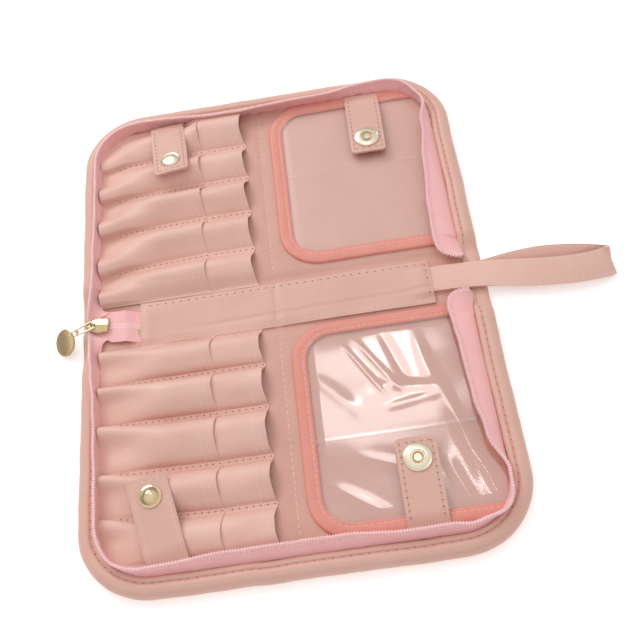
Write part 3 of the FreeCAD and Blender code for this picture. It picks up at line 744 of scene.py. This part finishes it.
for seed, half in enumerate(("lower", "upper")):
    surface = binding_surface(half, 70 + seed)
    binding = laid_grid(half + "_binding", 300, 20, surface)
    close_up(binding, outward=False)
    finish_sheet(binding, coral)
    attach(binding, half + "_half")
    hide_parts(half + "_pocket_binding")
    places = sewn_line(surface, (0.0, stitched_at), (1.0, stitched_at), 3.1 * mm, lift=0.12 * mm)
    seam = repeated(half + "_binding_seam", hem_stitch, places, hem_look)
    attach(seam, half + "_half")
    near = pocket_near[half] + 3 * mm
    far = pocket_far[half] - 3 * mm
    near_end, far_start = slit_ends[half]
    parts = (("top", near, near_end, False), ("under", far_start, far, True))
    for part, start, end, far_sheet in parts:
        sheet = laid_grid(
            "%s_window_%s" % (half, part), 150, int((end - start) / (0.6 * mm)),
            window_surface(half, start, end, far_sheet),
        )
        finish_sheet(sheet, window_finish[half], thickness=vinyl)
        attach(sheet, half + "_half")
        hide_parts("%s_pocket_%s_sheet" % (half, part))
        round(end - start, 4)

# ---- Zip tapes ----------------------------------------------------------------------------
# Pink woven tape is sewn inside the rolled edge and stands up, pushed over where the case has
# been shut on it. At the left both tapes turn in towards the slider and join as the chain.
tape_inset = 10.5 * mm
tape_foot = 4.6
tape_knee = 7.6
chain_left = -104.0
chain_taper = -93.6
chain_right = -77.0
chain_half = 9.4
slider_mouth = 2.4


def chain_middle(x):
    """Y of the closed chain's middle line, which slants a little across the spine."""
    return -0.6 + (-78.8 - x) * math.tan(math.radians(6))


# share of the way round, how far the top leans in (minus is out), height of the top
tape_stance = {
    "upper": (
        (0.0537, 12.4, 10.8), (0.07, 12.4, 11.2), (0.095, 11.6, 11.6), (0.158, 9.4, 11.8),
        (0.23, 6.0, 12.0), (0.28, 0.5, 12.2), (0.32, -2.6, 12.3), (0.356, -2.0, 12.3),
        (0.428, 1.0, 12.2), (0.545, 3.0, 12.0), (0.662, 0.0, 12.2), (0.734, -1.5, 12.2),
        (0.824, -2.0, 12.2), (0.90, -2.6, 12.2), (0.947, -3.0, 12.0),
    ),
    "lower": (
        (0.0537, 12.0, 10.8), (0.07, 11.6, 11.2), (0.095, 10.6, 11.4), (0.158, 9.6, 11.8),
        (0.205, 7.0, 12.0), (0.25, 0.6, 12.2), (0.285, -2.0, 12.2), (0.318, 1.4, 12.2),
        (0.35, 3.0, 12.2), (0.4, 3.0, 12.2), (0.45, 4.6, 12.1), (0.5, 4.8, 12.1),
        (0.6, 4.4, 12.1), (0.662, 2.4, 12.2), (0.71, 0.0, 12.2), (0.83, -0.5, 12.2),
        (0.90, -1.6, 12.2), (0.947, -2.6, 12.0),
    ),
}
stance_start = 0.0537
stance_end = 0.947
turn_start = 0.93
end_stop = 0.045
# foot and top of the tape where it ends at the right, its top edge rounded off to the rim
tape_end = (
    (101.4, 12.0, 5.2, 99.0, 10.6, 8.2), (101.0, 13.6, 5.0, 94.0, 11.4, 9.2),
    (100.5, 16.4, 4.8, 89.4, 14.2, 10.1), (99.8, 20.2, 4.7, 87.4, 18.8, 10.6),
    (99.5, 24.2, 4.6, 87.1, 24.2, 10.8),
)
# foot and top of the tape where it turns from the left edge into the slider
tape_turn = (
    (-99.5, 24.2, 4.7, -102.5, 24.2, 12.0), (-99.4, 17.0, 4.9, -103.4, 16.0, 11.5),
    (-98.6, 12.6, 5.2, -104.4, 9.6, 9.9), (-96.4, 10.6, 5.5, -105.0, 5.6, 8.0),
    (-93.6, 10.2, 5.7, -103.9, 3.9, 6.6),
)
# the lower tape goes on a little farther, and passes under the slider
lower_turn_in = 3.4
lower_turn_drop = 1.8
crimp = {"lower": 0.08, "upper": 0.3}


def tape_lines(half, share):
    """Foot, knee and top of the tape at a share of the way round, and the inward direction."""
    if share > turn_start:
        fx, fy, fz, tx, ty, tz = through(tape_turn, (share - turn_start) / (1 - turn_start))
        if half == "lower":
            fy -= lower_turn_in * smooth((24 - fy) / 14)
            ty -= lower_turn_in * smooth((24 - ty) / 14)
            tz -= lower_turn_drop * smooth((20 - ty) / 12)
        foot, top = Vector((fx, fy, fz)) * mm, Vector((tx, ty, tz)) * mm
        return foot, foot.lerp(top, 0.45), top, Vector((1, 0, 0))
    if share < end_stop:
        fx, fy, fz, tx, ty, tz = through(tape_end, share / end_stop)
        foot, top = Vector((fx, fy, fz)) * mm, Vector((tx, ty, tz)) * mm
        return foot, foot.lerp(top, 0.45) + Vector((0, 0, 1.6 * mm)), top, Vector((-1, 0, 0))
    straight = (share - end_stop) / (turn_start - end_stop)
    around = stance_start + (stance_end - stance_start) * straight
    table = tape_stance[half]
    lean, height = table[-1][1:]
    for (s0, lean0, z0), (s1, lean1, z1) in zip(table, table[1:]):
        if around <= s1:
            part = smooth((around - s0) / (s1 - s0))
            lean, height = lean0 + (lean1 - lean0) * part, z0 + (z1 - z0) * part
            break
    spot, inward = edge_point(around, tape_inset)
    up = Vector((0, 0, mm))
    top = spot + up * height + inward * lean * mm
    return spot + up * tape_foot, spot + up * min(tape_knee, height - 1), top, inward


def tape_surface(half, seed):
    """The standing tape: u runs round from the right end to the slider, v from foot to top."""
    def surface(u, v):
        foot, knee, top, inward = tape_lines(half, u)
        spot = foot * (1 - v) ** 2 + knee * 2 * v * (1 - v) + top * v * v
        ruffle = math.sin(u * 330 + 3 * wave(u, 0, seed, 0.05)) * (1 - v) ** 1.4
        ruffle *= crimp[half] * smooth(abs(u - 0.13) / 0.14)
        sway = wave(u, v * 0.01, seed + 1, 0.028)
        calm = 1 - smooth((u - turn_start) / 0.03)
        calm *= smooth((u - 0.02) / 0.06)
        return spot + inward * (ruffle + 0.5 * sway * v) * calm * mm
    return mirrored(surface, half)


tape_cloth, tape_shader, tape_paint = new_finish(
    "zip_tape_cloth", Specular_IOR_Level=0.25, Sheen_Weight=0.35, Sheen_Roughness=0.4
)
way = tape_paint.node("ShaderNodeTexCoord", out=2)
place = tape_paint.node("ShaderNodeTexCoord", out=3)
ribs = tape_paint.node("ShaderNodeTexWave", {
    "Vector": tape_paint.node("ShaderNodeMapping", {"Vector": way, "Scale": (1.0, 7.0, 1.0)}),
    "Scale": 1.0, "Distortion": 0.0,
}, bands_direction="Y")
twill = tape_paint.node("ShaderNodeTexWave", {
    "Vector": tape_paint.node("ShaderNodeMapping", {"Vector": way, "Scale": (130.0, 4.0, 1.0)}),
    "Scale": 1.0, "Distortion": 0.4,
}, bands_direction="DIAGONAL")
mottle = tape_paint.node("ShaderNodeTexNoise", {"Vector": place, "Scale": 90.0})
weave = ribs * 0.55 + twill * 0.45
# the tape's pink is partly its own dye and partly painted light: it is made lighter to make up for the
# shade on its upright faces
dye_and_painted_light = mixed(tape_paint, weave * 0.5 + mottle * 0.5, tone("#ffcdcb"), tone("#fab6b7"))
wire(tape_paint, dye_and_painted_light, tape_shader, "Base Color")
wire(tape_paint, 0.62 + weave * 0.2, tape_shader, "Roughness")
bump = tape_paint.node("ShaderNodeBump", {"Strength": 0.35, "Distance": 0.0002, "Height": weave})
wire(tape_paint, bump, tape_shader, "Normal")

tape_thickness = 0.6 * mm
tape_seeds = {"lower": 80, "upper": 83}
tape_bend = {"start": 12.0 * mm, "end": 17.5 * mm}
for half in ("lower", "upper"):
    tape = laid_grid(half + "_tape", 520, 14, tape_surface(half, tape_seeds[half]))
    finish_sheet(tape, tape_cloth, thickness=tape_thickness, offset=0.0)
    bend_at_fold(tape, half, **tape_bend)
    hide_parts(half + "_zip_tape")


def chain_surface(u, v):
    """The joined tapes: full width at the strip, narrowing into the slider and rising to it."""
    x = chain_right + (chain_left - chain_right) * u
    narrowing = max(0.0, (chain_taper - x) / (chain_taper - chain_left))
    spread = chain_half + (slider_mouth - chain_half) * narrowing
    level = 3.3 + 2.6 * smooth((-78.5 - x) / 8)
    y = chain_middle(x) + spread * (2 * v - 1)
    sag = 0.35 * wave(x, y, 91, 6) + 0.5 * abs(2 * v - 1) ** 2 * smooth((-84 - x) / 8)
    return Vector((x, y, level - sag)) * mm


chain_tape = laid_grid("chain_tape", 60, 30, chain_surface)
finish_sheet(chain_tape, tape_cloth, thickness=tape_thickness, offset=0.0)
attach(chain_tape, "spine")
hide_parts("spine_zip_tape")

# ---- Zip coils ----------------------------------------------------------------------------
# A pink nylon coil is stitched along the top of each tape. Each turn is a thin bar with a bead
# at both ends, and a round core cord runs through them all.
tooth_pitch = 1.22 * mm
chain_pitch = 1.05
cord_radius = 0.88 * mm
small_step = 0.002
below_edge = 0.72
nylon, nylon_shader, nylon_paint = new_finish(
    "pink_nylon", Specular_IOR_Level=0.5, Coat_Roughness=0.3
)
place = nylon_paint.node("ShaderNodeTexCoord", out=3)
cloud = nylon_paint.node("ShaderNodeTexNoise", {"Vector": place, "Scale": 350.0, "Detail": 2.0})
# the coil's near-white pink is partly its own colour and partly painted highlight for the glints along
# its beads
wire(nylon_paint, mixed(nylon_paint, cloud, tone("#ffe8ea"), tone("#fac8cd")), nylon_shader, "Base Color")
wire(nylon_paint, 0.32 + cloud * 0.15, nylon_shader, "Roughness")


def tooth_model(length, height):
    """One turn of the coil: a thin bar across the tape's edge with a bead at each end."""
    model = bmesh.new()
    bar = Matrix.Diagonal((0.5 * mm, length * 0.8, height * 0.8, 1))
    bmesh.ops.create_cube(model, size=1, matrix=bar)
    for side in (-1, 1):
        bmesh.ops.create_icosphere(
            model, subdivisions=1, radius=0.5,
            matrix=Matrix.Translation((0, side * length * 0.31, 0))
            @ Matrix.Diagonal((0.98 * mm, length * 0.31, height, 1)),
        )
    return model


def edge_frame(surface, u):
    """Top edge of a tape at u: the point, the way along it, and the way up the tape to it."""
    top = surface(u, 1.0)
    along = surface(min(1, u + small_step), 1.0) - surface(max(0, u - small_step), 1.0)
    return top, along, (top - surface(u, below_edge)).normalized()


def coil_places(surface):
    """Where each turn sits: X along the tape's edge, Y up across it."""
    steps = 1600
    places = []
    travelled = 0.0
    before = None
    for i in range(steps + 1):
        top, along, up = edge_frame(surface, i / steps)
        if before is not None:
            travelled += (top - before).length
        if before is None or travelled >= tooth_pitch:
            travelled = 0.0
            along = along.normalized()
            up = (up - along * up.dot(along)).normalized()
            face = along.cross(up).normalized()
            turn = Matrix((along, up, face)).transposed().to_4x4()
            places.append(Matrix.Translation(top - up * 0.1 * mm) @ turn)
        before = top
    return places


def cord_surface(surface):
    def around(u, v):
        top, along, up = edge_frame(surface, u)
        out = Matrix.Rotation(v * 2 * math.pi, 3, along) @ up
        return top + up * 0.2 * mm + out * cord_radius
    return around


tooth = tooth_model(3.2 * mm, 1.9 * mm)
for half in ("lower", "upper"):
    surface = tape_surface(half, tape_seeds[half])
    coil = repeated(half + "_coil", tooth, coil_places(surface), (nylon,))
    core = laid_grid(half + "_coil_cord", 420, 10, cord_surface(surface))
    close_up(core)
    finish_sheet(core, tape_cloth, face_up=False)
    for piece in (coil, core):
        piece.select_set(True)
        bpy.context.view_layer.objects.active = piece
        bpy.ops.object.shade_smooth_by_angle(angle=math.radians(60))
        bend_at_fold(piece, half, **tape_bend)
    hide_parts(half + "_zip_coil")

chain_tooth = tooth_model(3.8 * mm, 0.5 * mm)
places = []
x = chain_right - 0.6
while x > -99:
    near = chain_surface((x + 0.3 - chain_right) / (chain_left - chain_right), 0.5)
    here = chain_surface((x - chain_right) / (chain_left - chain_right), 0.5)
    along = (here - near).normalized()
    up = Vector((0, 0, 1))
    up = (up - along * up.dot(along)).normalized()
    turn = Matrix((along, up.cross(along), up)).transposed().to_4x4()
    places.append(Matrix.Translation(here + up * 0.3 * mm) @ turn)
    x -= chain_pitch
chain_coil = repeated("chain_coil", chain_tooth, places, (nylon,))
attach(chain_coil, "spine")
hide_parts("spine_zip_coil")

# ---- Spine strip --------------------------------------------------------------------------
# A separate leather strip covers the spine's inside and the ends of the sleeves, the closed
# chain and the strap. It is sewn flat all round and has creased along its middle.
strip_low, strip_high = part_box("spine_strip")
strip_top = strip_high.z + 0.9 * mm


def strip_height(x, y):
    """Top of the strip: raised over the strap's and the chain's ends, creased along between."""
    strap_root = smooth((x - 66 * mm) / (12 * mm))
    strap_root *= 1 - smooth((abs(y) - 7 * mm) / (4.5 * mm))
    chain_root = smooth((-66 * mm - x) / (9 * mm))
    chain_root *= 1 - smooth((abs(y + 1.5 * mm) - 8 * mm) / (4 * mm))
    crease = math.exp(-((y + 5.6 * mm - 0.02 * x) / (1.1 * mm)) ** 2)
    crease *= smooth((x + 60 * mm) / (30 * mm))
    ripple = 0.45 * mm * wave(x, 3 * y, 95, 30 * mm)
    kink = 0.5 * mm * math.exp(-((x - divider_x) / (2 * mm)) ** 2)
    ripple += 0.6 * mm * smooth((-y - 8 * mm) / (5 * mm)) * smooth((x + 10 * mm) / (60 * mm))
    raised = 2.0 * mm * strap_root + 0.9 * mm * chain_root
    return strip_top + raised + ripple - 0.4 * mm * crease - kink


def strip_surface(u, v):
    x = strip_low.x + (strip_high.x - strip_low.x) * u
    y = strip_low.y + (strip_high.y - strip_low.y) * v
    y += 0.5 * mm * wave(x, y, 97, 26 * mm) * (2 * v - 1)
    edge = min(u * 30, (1 - u) * 30, v * 6, (1 - v) * 6)
    return Vector((x, y, strip_height(x, y) - 0.5 * mm * (1 - smooth(edge))))


strip = laid_grid("spine_strip_leather", 190, 44, strip_surface)
finish_sheet(strip, leather, thickness=0.9 * mm)
strip_seams = sewn_line(strip_surface, (0.014, 0.915), (0.986, 0.915), 4.2 * mm)
strip_hems = sewn_line(strip_surface, (0.014, 0.085), (0.986, 0.085), 4.2 * mm)
strip_hems += sewn_line(strip_surface, (0.014, 0.1), (0.014, 0.9), 4.0 * mm)
strip_seams += sewn_line(strip_surface, (0.986, 0.1), (0.986, 0.9), 4.0 * mm)
divider_u = (divider_x - strip_low.x) / (strip_high.x - strip_low.x)
strip_hems += sewn_line(strip_surface, (divider_u, 0.12), (divider_u, 0.9), 3.6 * mm)
strip_seam = repeated("strip_seam", pricked_stitch, strip_seams, pricked_look)
strip_hem = repeated("strip_hem", hem_stitch, strip_hems, hem_look)
for piece in (strip, strip_seam, strip_hem):
    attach(piece, "spine")
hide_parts("spine_strip")

# ---- Snap tabs ----------------------------------------------------------------------------
# Four leather tabs are caught under the zip tape at the far edges and reach in over the
# panel. Each is two layers sewn together along the edges, with one half of a snap at its end.
# For each: middle of its root, length, turn and tilt, in mm and degrees.
tabs = {
    "lower_left": ((-65.3, -131.4, 9.9), 42.0, 12.0, 3.6),
    "lower_right": ((57.8, -131.2, 8.2), 42.6, 0.0, 1.0),
    "upper_left": ((-58.2, 131.5, 9.9), 39.2, 5.0, 3.8),
    "upper_right": ((60.9, 132.8, 8.2), 43.2, -0.8, 1.0),
}
tab_width = 20.0
tab_sheet = 1.4
tab_hidden = 2.5


def tab_surface(name):
    """The tab's upper side: u across it, v from its hidden root to its tip."""
    base, length, yaw, pitch = tabs[name]
    turn = yaw + (0 if base[1] < 0 else 180)
    place = Matrix.Translation(Vector(base) * mm) @ Matrix.Rotation(math.radians(turn), 4, "Z")
    place = place @ Matrix.Rotation(math.radians(pitch), 4, "X")
    seed = base[0]
    tip = 2.6 if name == "upper_left" else 0.0

    def surface(u, v):
        x = (u - 0.5) * tab_width * (1 + 0.015 * math.sin(3 * v))
        y = -tab_hidden + (length + tab_hidden) * v
        corner = (abs(2 * u - 1) ** 12) * (v ** 40) * 0.8
        sag = 2.4 * (1 - smooth((y + tab_hidden) / 9))
        sag += 0.5 * math.sin(math.pi * min(1, y / 26)) * (y < 26)
        curl = 0.3 * abs(2 * u - 1) ** 2 * (1 + wave(v, 0, seed, 0.4))
        curl -= tip * max(0.0, (y - 17) / 22) ** 1.6 * (1 - 0.02 * x)
        return place @ (Vector((x * (1 - corner * 0.04), y - corner, tab_sheet - sag - curl)) * mm)
    return surface


for name in tabs:
    surface = tab_surface(name)
    tab = laid_grid(name + "_tab_leather", 24, 54, surface)
    finish_sheet(tab, leather, thickness=tab_sheet * mm)
    edge = 0.105
    seams = sewn_line(surface, (edge, 0.08), (edge, 0.945), 3.2 * mm)
    seams += sewn_line(surface, (1 - edge, 0.08), (1 - edge, 0.945), 3.2 * mm)
    seams += sewn_line(surface, (0.14, 0.945), (0.86, 0.945), 3.2 * mm)
    stitch, look_of = pricked_stitch, pricked_look
    if name == "lower_left":
        stitch, look_of = hem_stitch, hem_look
    seam = repeated(name + "_seam", stitch, seams, look_of)
    for piece in (tab, seam):
        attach(piece, name + "_flap")
    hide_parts(name + "_tab")

# ---- Wrist strap --------------------------------------------------------------------------
# A folded leather strip sewn along both edges, doubled back into a loop. Both ends are caught
# under the end of the spine strip; the loop stands a little open and leans over on the table.
# Its route: middle x, y, z in mm and lean in degrees, out along the top and back below.
strap_half = 7.5
strap_sheet = 1.3
strap_route = (
    (75.0, 0.6, 5.1, 0), (84.0, 0.4, 5.3, 0), (95.0, -0.4, 6.2, 0), (108.0, -1.6, 6.9, 2),
    (120.0, -3.4, 7.2, 8), (134.0, -5.8, 7.6, 14), (148.0, -7.4, 7.8, 18), (160.0, -7.8, 7.8, 22),
    (169.5, -7.0, 7.7, 26), (174.4, -5.8, 7.1, 29), (175.6, -4.6, 6.0, 31), (173.4, -3.2, 5.2, 30),
    (167.0, -1.4, 4.9, 29), (154.0, 1.2, 4.7, 27), (140.0, 2.6, 4.5, 22), (124.0, 1.9, 4.3, 12),
    (108.0, -0.4, 4.5, 3), (95.0, -0.4, 4.4, 0), (84.0, 0.4, 3.6, 0), (75.0, 0.6, 3.5, 0),
)


def strap_surface(u, v):
    """The middle of the folded strip: u runs out and back, v from its near edge to its far."""
    x, y, z, lean = through(strap_route, u)
    ahead = through(strap_route, min(1, u + 0.004)) - through(strap_route, max(0, u - 0.004))
    along = ahead.xyz.normalized()
    a = math.radians(lean)
    across = Vector((0, math.cos(a), math.sin(a)))
    across = (across - along * across.dot(along)).normalized()
    face = along.cross(across)
    bow = 0.25 * wave(u, v * 0.02, 99, 0.06) - 0.3 * (2 * v - 1) ** 2
    slant = Vector((1.4 * (1 - 2 * v) * smooth((x - 158) / 16), 0, 0))
    return (Vector((x, y, z)) + across * strap_half * (2 * v - 1) + face * bow + slant) * mm


strap = laid_grid("strap_leather", 260, 18, strap_surface)
# the strap takes the lighter copy of the leather: painted light for a strap that lies tilted
finish_sheet(strap, lit_leather, thickness=strap_sheet * mm, offset=0.0, face_up=False)
strap_stitches = []
for v in (0.1, 0.9):
    for u0, u1 in ((0.02, 0.47), (0.53, 0.98)):
        strap_stitches += sewn_line(strap_surface, (u0, v), (u1, v), 3.8 * mm, lift=0.86 * mm)
strap_seam = repeated("strap_seam", hem_stitch, strap_stitches, hem_look)
for piece in (strap, strap_seam):
    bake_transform(piece)
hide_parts("wrist_strap")

# ---- Hardware -----------------------------------------------------------------------------
# Snaps, slider, link, ring and charm disc are pressed or cast zinc, plated champagne gold.
# Each snap is riveted through its tab; the slider runs on the coil and carries the pull.


def plating(name, light, dark, roughness):
    """Plated zinc: faintly brushed, a little tarnished."""
    finish, shader, paint = new_finish(name, Metallic=1.0)
    place = paint.node("ShaderNodeTexCoord", out=3)
    grain = paint.node("ShaderNodeMapping", {"Vector": place, "Scale": (1.0, 6.0, 1.0)})
    brush = paint.node("ShaderNodeTexNoise", {"Vector": grain, "Scale": 900.0, "Detail": 3.0})
    tarnish = paint.node("ShaderNodeTexNoise", {"Vector": place, "Scale": 160.0, "Detail": 3.0})
    wire(paint, mixed(paint, tarnish, tone(light), tone(dark)), shader, "Base Color")
    wire(paint, roughness + brush * 0.08 + tarnish * 0.05, shader, "Roughness")
    bump = paint.node("ShaderNodeBump", {"Strength": 0.06, "Distance": 0.00005, "Height": brush})
    wire(paint, bump, shader, "Normal")
    return finish


polished_gold = plating("polished_gold", "#ecd8b4", "#d9be92", 0.06)
satin_gold = plating("satin_gold", "#f3e8d6", "#e2d3b8", 0.2)
cast_gold = plating("cast_gold", "#dcc39c", "#c6aa80", 0.24)
for name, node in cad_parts.items():
    if "snap" in name or name.startswith(("puller", "slider")):
        node.data.materials.clear()
        node.data.materials.append(satin_gold)


def turned(name, profile, place, finish):
    """A round piece: its profile of (radius, height) spun about its own axis."""
    mesh = bpy.data.meshes.new(name)
    points = [(r * mm, 0, z * mm) for r, z in profile]
    mesh.from_pydata(points, [(i, i + 1) for i in range(len(points) - 1)], [])
    piece = bpy.data.objects.new(name, mesh)
    bpy.context.scene.collection.objects.link(piece)
    bpy.ops.object.select_all(action="DESELECT")
    bpy.context.view_layer.objects.active = piece
    lathe = piece.modifiers.new("lathe", "SCREW")
    lathe.steps = 72
    lathe.render_steps = 72
    bpy.ops.object.modifier_apply(modifier=lathe.name)
    close_up(piece)
    mesh.transform(place)
    mesh.materials.append(finish)
    piece.select_set(True)
    bpy.ops.object.shade_smooth_by_angle(angle=math.radians(35))
    return piece


def seat(surface, u, v, lift):
    """Where a snap sits on a tab: its centre, and the tab's own slope there."""
    across = surface(u + 0.02, v) - surface(u - 0.02, v)
    along = surface(u, v + 0.02) - surface(u, v - 0.02)
    up = across.cross(along).normalized()
    up = up if up.z > 0 else -up
    across.normalize()
    turn = Matrix((across, up.cross(across), up)).transposed().to_4x4()
    return Matrix.Translation(surface(u, v) + up * lift) @ turn


dome = [
    (0.0, 2.9), (0.9, 2.85), (1.9, 2.6), (2.9, 2.15), (3.8, 1.55), (4.5, 0.95), (4.9, 0.7),
    (5.3, 0.66), (5.65, 0.5), (5.75, 0.2), (5.6, 0.0), (0.0, 0.0),
]
button = [
    (0.0, 0.95), (2.2, 0.92), (3.6, 0.82), (4.3, 0.62), (4.6, 0.5), (4.9, 0.62), (5.3, 0.7),
    (5.6, 0.5), (5.75, 0.2), (5.6, 0.0), (0.0, 0.0),
]
disc_snap = [
    (0.0, 0.3), (1.9, 0.3), (2.2, 0.55), (2.45, 0.75), (2.7, 0.75), (2.95, 0.45), (3.5, 0.45),
    (3.8, 0.85), (6.2, 0.8), (6.35, 0.72), (6.5, 0.8), (6.8, 0.72), (7.1, 0.5), (7.2, 0.2),
    (7.1, 0.0), (0.0, 0.0),
]
post_ring = [
    (2.3, 0.6), (2.34, 1.2), (2.5, 1.42), (2.72, 1.42), (2.88, 1.2), (2.92, 0.6), (2.3, 0.6),
]
snap_from_tip = 10.5
for name in tabs:
    surface = tab_surface(name)
    length = tabs[name][1]
    reach = (length - snap_from_tip + tab_hidden) / (length + tab_hidden)
    place = seat(surface, 0.5, reach, 0.05 * mm)
    if name.endswith("right"):
        ring = turned(name + "_snap_ring", post_ring, place, cast_gold)
        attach(ring, name + "_flap")
        snap = turned(name + "_snap_disc", disc_snap, place, satin_gold)
        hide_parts(name + "_snap_stud")
    else:
        profile, finish = (button, satin_gold)
        if name == "lower_left":
            profile, finish = (dome, polished_gold)
        snap = turned(name + "_snap_button", profile, place, finish)
        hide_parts(name + "_snap_cap")
    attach(snap, name + "_flap")

# The slider is a faceted shield over a flat foot, with a round eye on top for the link.
slider_at = Vector((-99.4, chain_middle(-99.4), 0)) * mm
slider_place = Matrix.Translation(slider_at) @ Matrix.Rotation(math.radians(-6), 4, "Z")
shield = [
    (5.2, -4.1), (5.2, 4.1), (-0.6, 4.8), (-5.2, 3.3),
    (-7.6, 1.0), (-7.6, -1.0), (-5.2, -3.3), (-0.6, -4.8),
]
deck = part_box("slider_body")[1].z / mm - 3.0
# from the foot up to the face: share of the shield's length and width, and height
shield_rings = (
    (0.92, 0.9, 3.95), (0.92, 0.9, 4.8), (0.8, 0.5, 4.85), (0.8, 0.5, deck),
    (1.0, 1.0, deck), (1.0, 1.0, deck + 0.7), (0.9, 0.84, deck + 1.15),
)
model = bmesh.new()
rings = [
    [model.verts.new((x * wide * mm, y * deep * mm, z * mm)) for x, y in shield]
    for wide, deep, z in shield_rings
]
for low_ring, high_ring in zip(rings, rings[1:]):
    for i in range(8):
        j = (i + 1) % 8
        model.faces.new((low_ring[i], low_ring[j], high_ring[j], high_ring[i]))
model.faces.new(tuple(reversed(rings[0])))
ridge_back = model.verts.new((5.2 * mm, 0, (deck + 1.6) * mm))
ridge_front = model.verts.new((-2.6 * mm, 0, (deck + 1.6) * mm))
top = rings[-1]
model.faces.new((top[0], top[1], ridge_back))
model.faces.new((top[1], top[2], ridge_front, ridge_back))
for i in range(2, 7):
    model.faces.new((top[i], top[i + 1], ridge_front))
model.faces.new((top[7], top[0], ridge_back, ridge_front))
mesh = bpy.data.meshes.new("slider_shield")
model.to_mesh(mesh)
model.free()
mesh.transform(slider_place)
mesh.materials.append(cast_gold)
slider = bpy.data.objects.new("slider_shield", mesh)
bpy.context.scene.collection.objects.link(slider)
close_up(slider)
bpy.context.view_layer.objects.active = slider
rounding = slider.modifiers.new("rounding", "BEVEL")
rounding.width = 0.16 * mm
rounding.segments = 2
bpy.ops.object.modifier_apply(modifier=rounding.name)
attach(slider, "slider")
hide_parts("slider_body")
bpy.ops.object.select_all(action="DESELECT")
bpy.ops.mesh.primitive_torus_add(
    major_radius=1.25 * mm, minor_radius=0.45 * mm, major_segments=32, minor_segments=12,
    rotation=(math.pi / 2, 0, 0),
)
crown = bpy.context.object
crown.name = "slider_crown"
bpy.ops.object.transform_apply(rotation=True)
crown.data.transform(slider_place @ Matrix.Translation(Vector((-3.5, 0, deck + 1.2)) * mm))
crown.data.materials.append(cast_gold)
bpy.ops.object.shade_smooth()
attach(crown, "slider")

# The charm is a thin disc, pressed a little hollow, with a rounded rim.
charm_low, charm_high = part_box("puller_disc")
downhill = Vector((-0.68, -0.39, -0.62)).normalized()
sideways = Vector((0, 0, 1)).cross(downhill).normalized()
facing = downhill.cross(sideways).normalized()
facing = facing if facing.z > 0 else -facing
charm_place = Matrix.Translation((charm_low + charm_high) / 2) @ Matrix(
    (downhill, facing.cross(downhill), facing)
).transposed().to_4x4()
charm = turned("charm_disc", [
    (0.0, -0.05), (2.0, 0.0), (4.0, 0.14), (5.6, 0.32), (6.5, 0.48), (7.1, 0.52), (7.45, 0.3), (7.5, 0.0),
    (7.35, -0.35), (6.6, -0.5), (0.0, -0.5),
], charm_place, cast_gold)
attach(charm, "pull_disc")
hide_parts("puller_disc")

# ---- Table and light ----------------------------------------------------------------------
# A pale seamless table that gives a little light of its own, in a white room. A large softbox
# stands at the back left; four small ones are there for the glints in the clear window.
bpy.ops.object.select_all(action="DESELECT")
bpy.ops.mesh.primitive_plane_add(size=6)
table = bpy.context.object
table.name = "table"
table.data.materials.append(two_tone(
    "white_table", "ShaderNodeTexNoise", {"Scale": 6.0}, ("#fdfdfd", "#fafafa"),
    Roughness=0.8, Specular_IOR_Level=0.1, Emission_Color=(1.0, 0.99, 0.985, 1.0),
    Emission_Strength=0.3,
))

room = bpy.data.worlds.new("room")
room.use_nodes = True
air = Paint(room.node_tree)
height = air.node("ShaderNodeSeparateXYZ", {0: air.node("ShaderNodeTexCoord")}, out=2)
shade = air.node("ShaderNodeValToRGB", {0: height}, stops=(
    (0.0, (0.72, 0.71, 0.70, 1)), (0.12, (0.42, 0.41, 0.4, 1)),
    (0.3, (0.34, 0.33, 0.325, 1)), (0.46, (0.64, 0.63, 0.625, 1)),
    (0.62, (0.82, 0.81, 0.805, 1)), (1.0, (0.92, 0.915, 0.91, 1)),
))
room.node_tree.links.new(shade.socket, room.node_tree.nodes["Background"].inputs["Color"])
bpy.context.scene.world = room


def softbox(name, size, place, target, power):
    lamp = bpy.data.lights.new(name, "AREA")
    lamp.shape = "RECTANGLE"
    lamp.size, lamp.size_y = size
    lamp.energy = power
    holder = bpy.data.objects.new(name, lamp)
    holder.location = place
    holder.rotation_euler = (Vector(target) - Vector(place)).to_track_quat("-Z", "Y").to_euler()
    bpy.context.scene.collection.objects.link(holder)


softbox("key_softbox", (1.0, 0.7), (-0.85, 1.4, 1.2), (0, 0, 0), 13.0)
softbox("window_softbox", (0.31, 0.21), (0.015, 0.495, 1.2), (0.015, -0.06, 0), 0.52)
softbox("bright_softbox", (0.1, 0.05), (0.09, 0.565, 1.19), (0.09, -0.06, 0), 0.07)
softbox("strip_softbox", (0.024, 0.33), (0.197, 0.38, 1.2), (0.197, -0.1, 0), 0.09)
softbox("short_softbox", (0.02, 0.14), (0.186, 0.27, 1.2), (0.186, -0.15, 0), 0.03)
bpy.context.scene.view_settings.view_transform = "Standard"
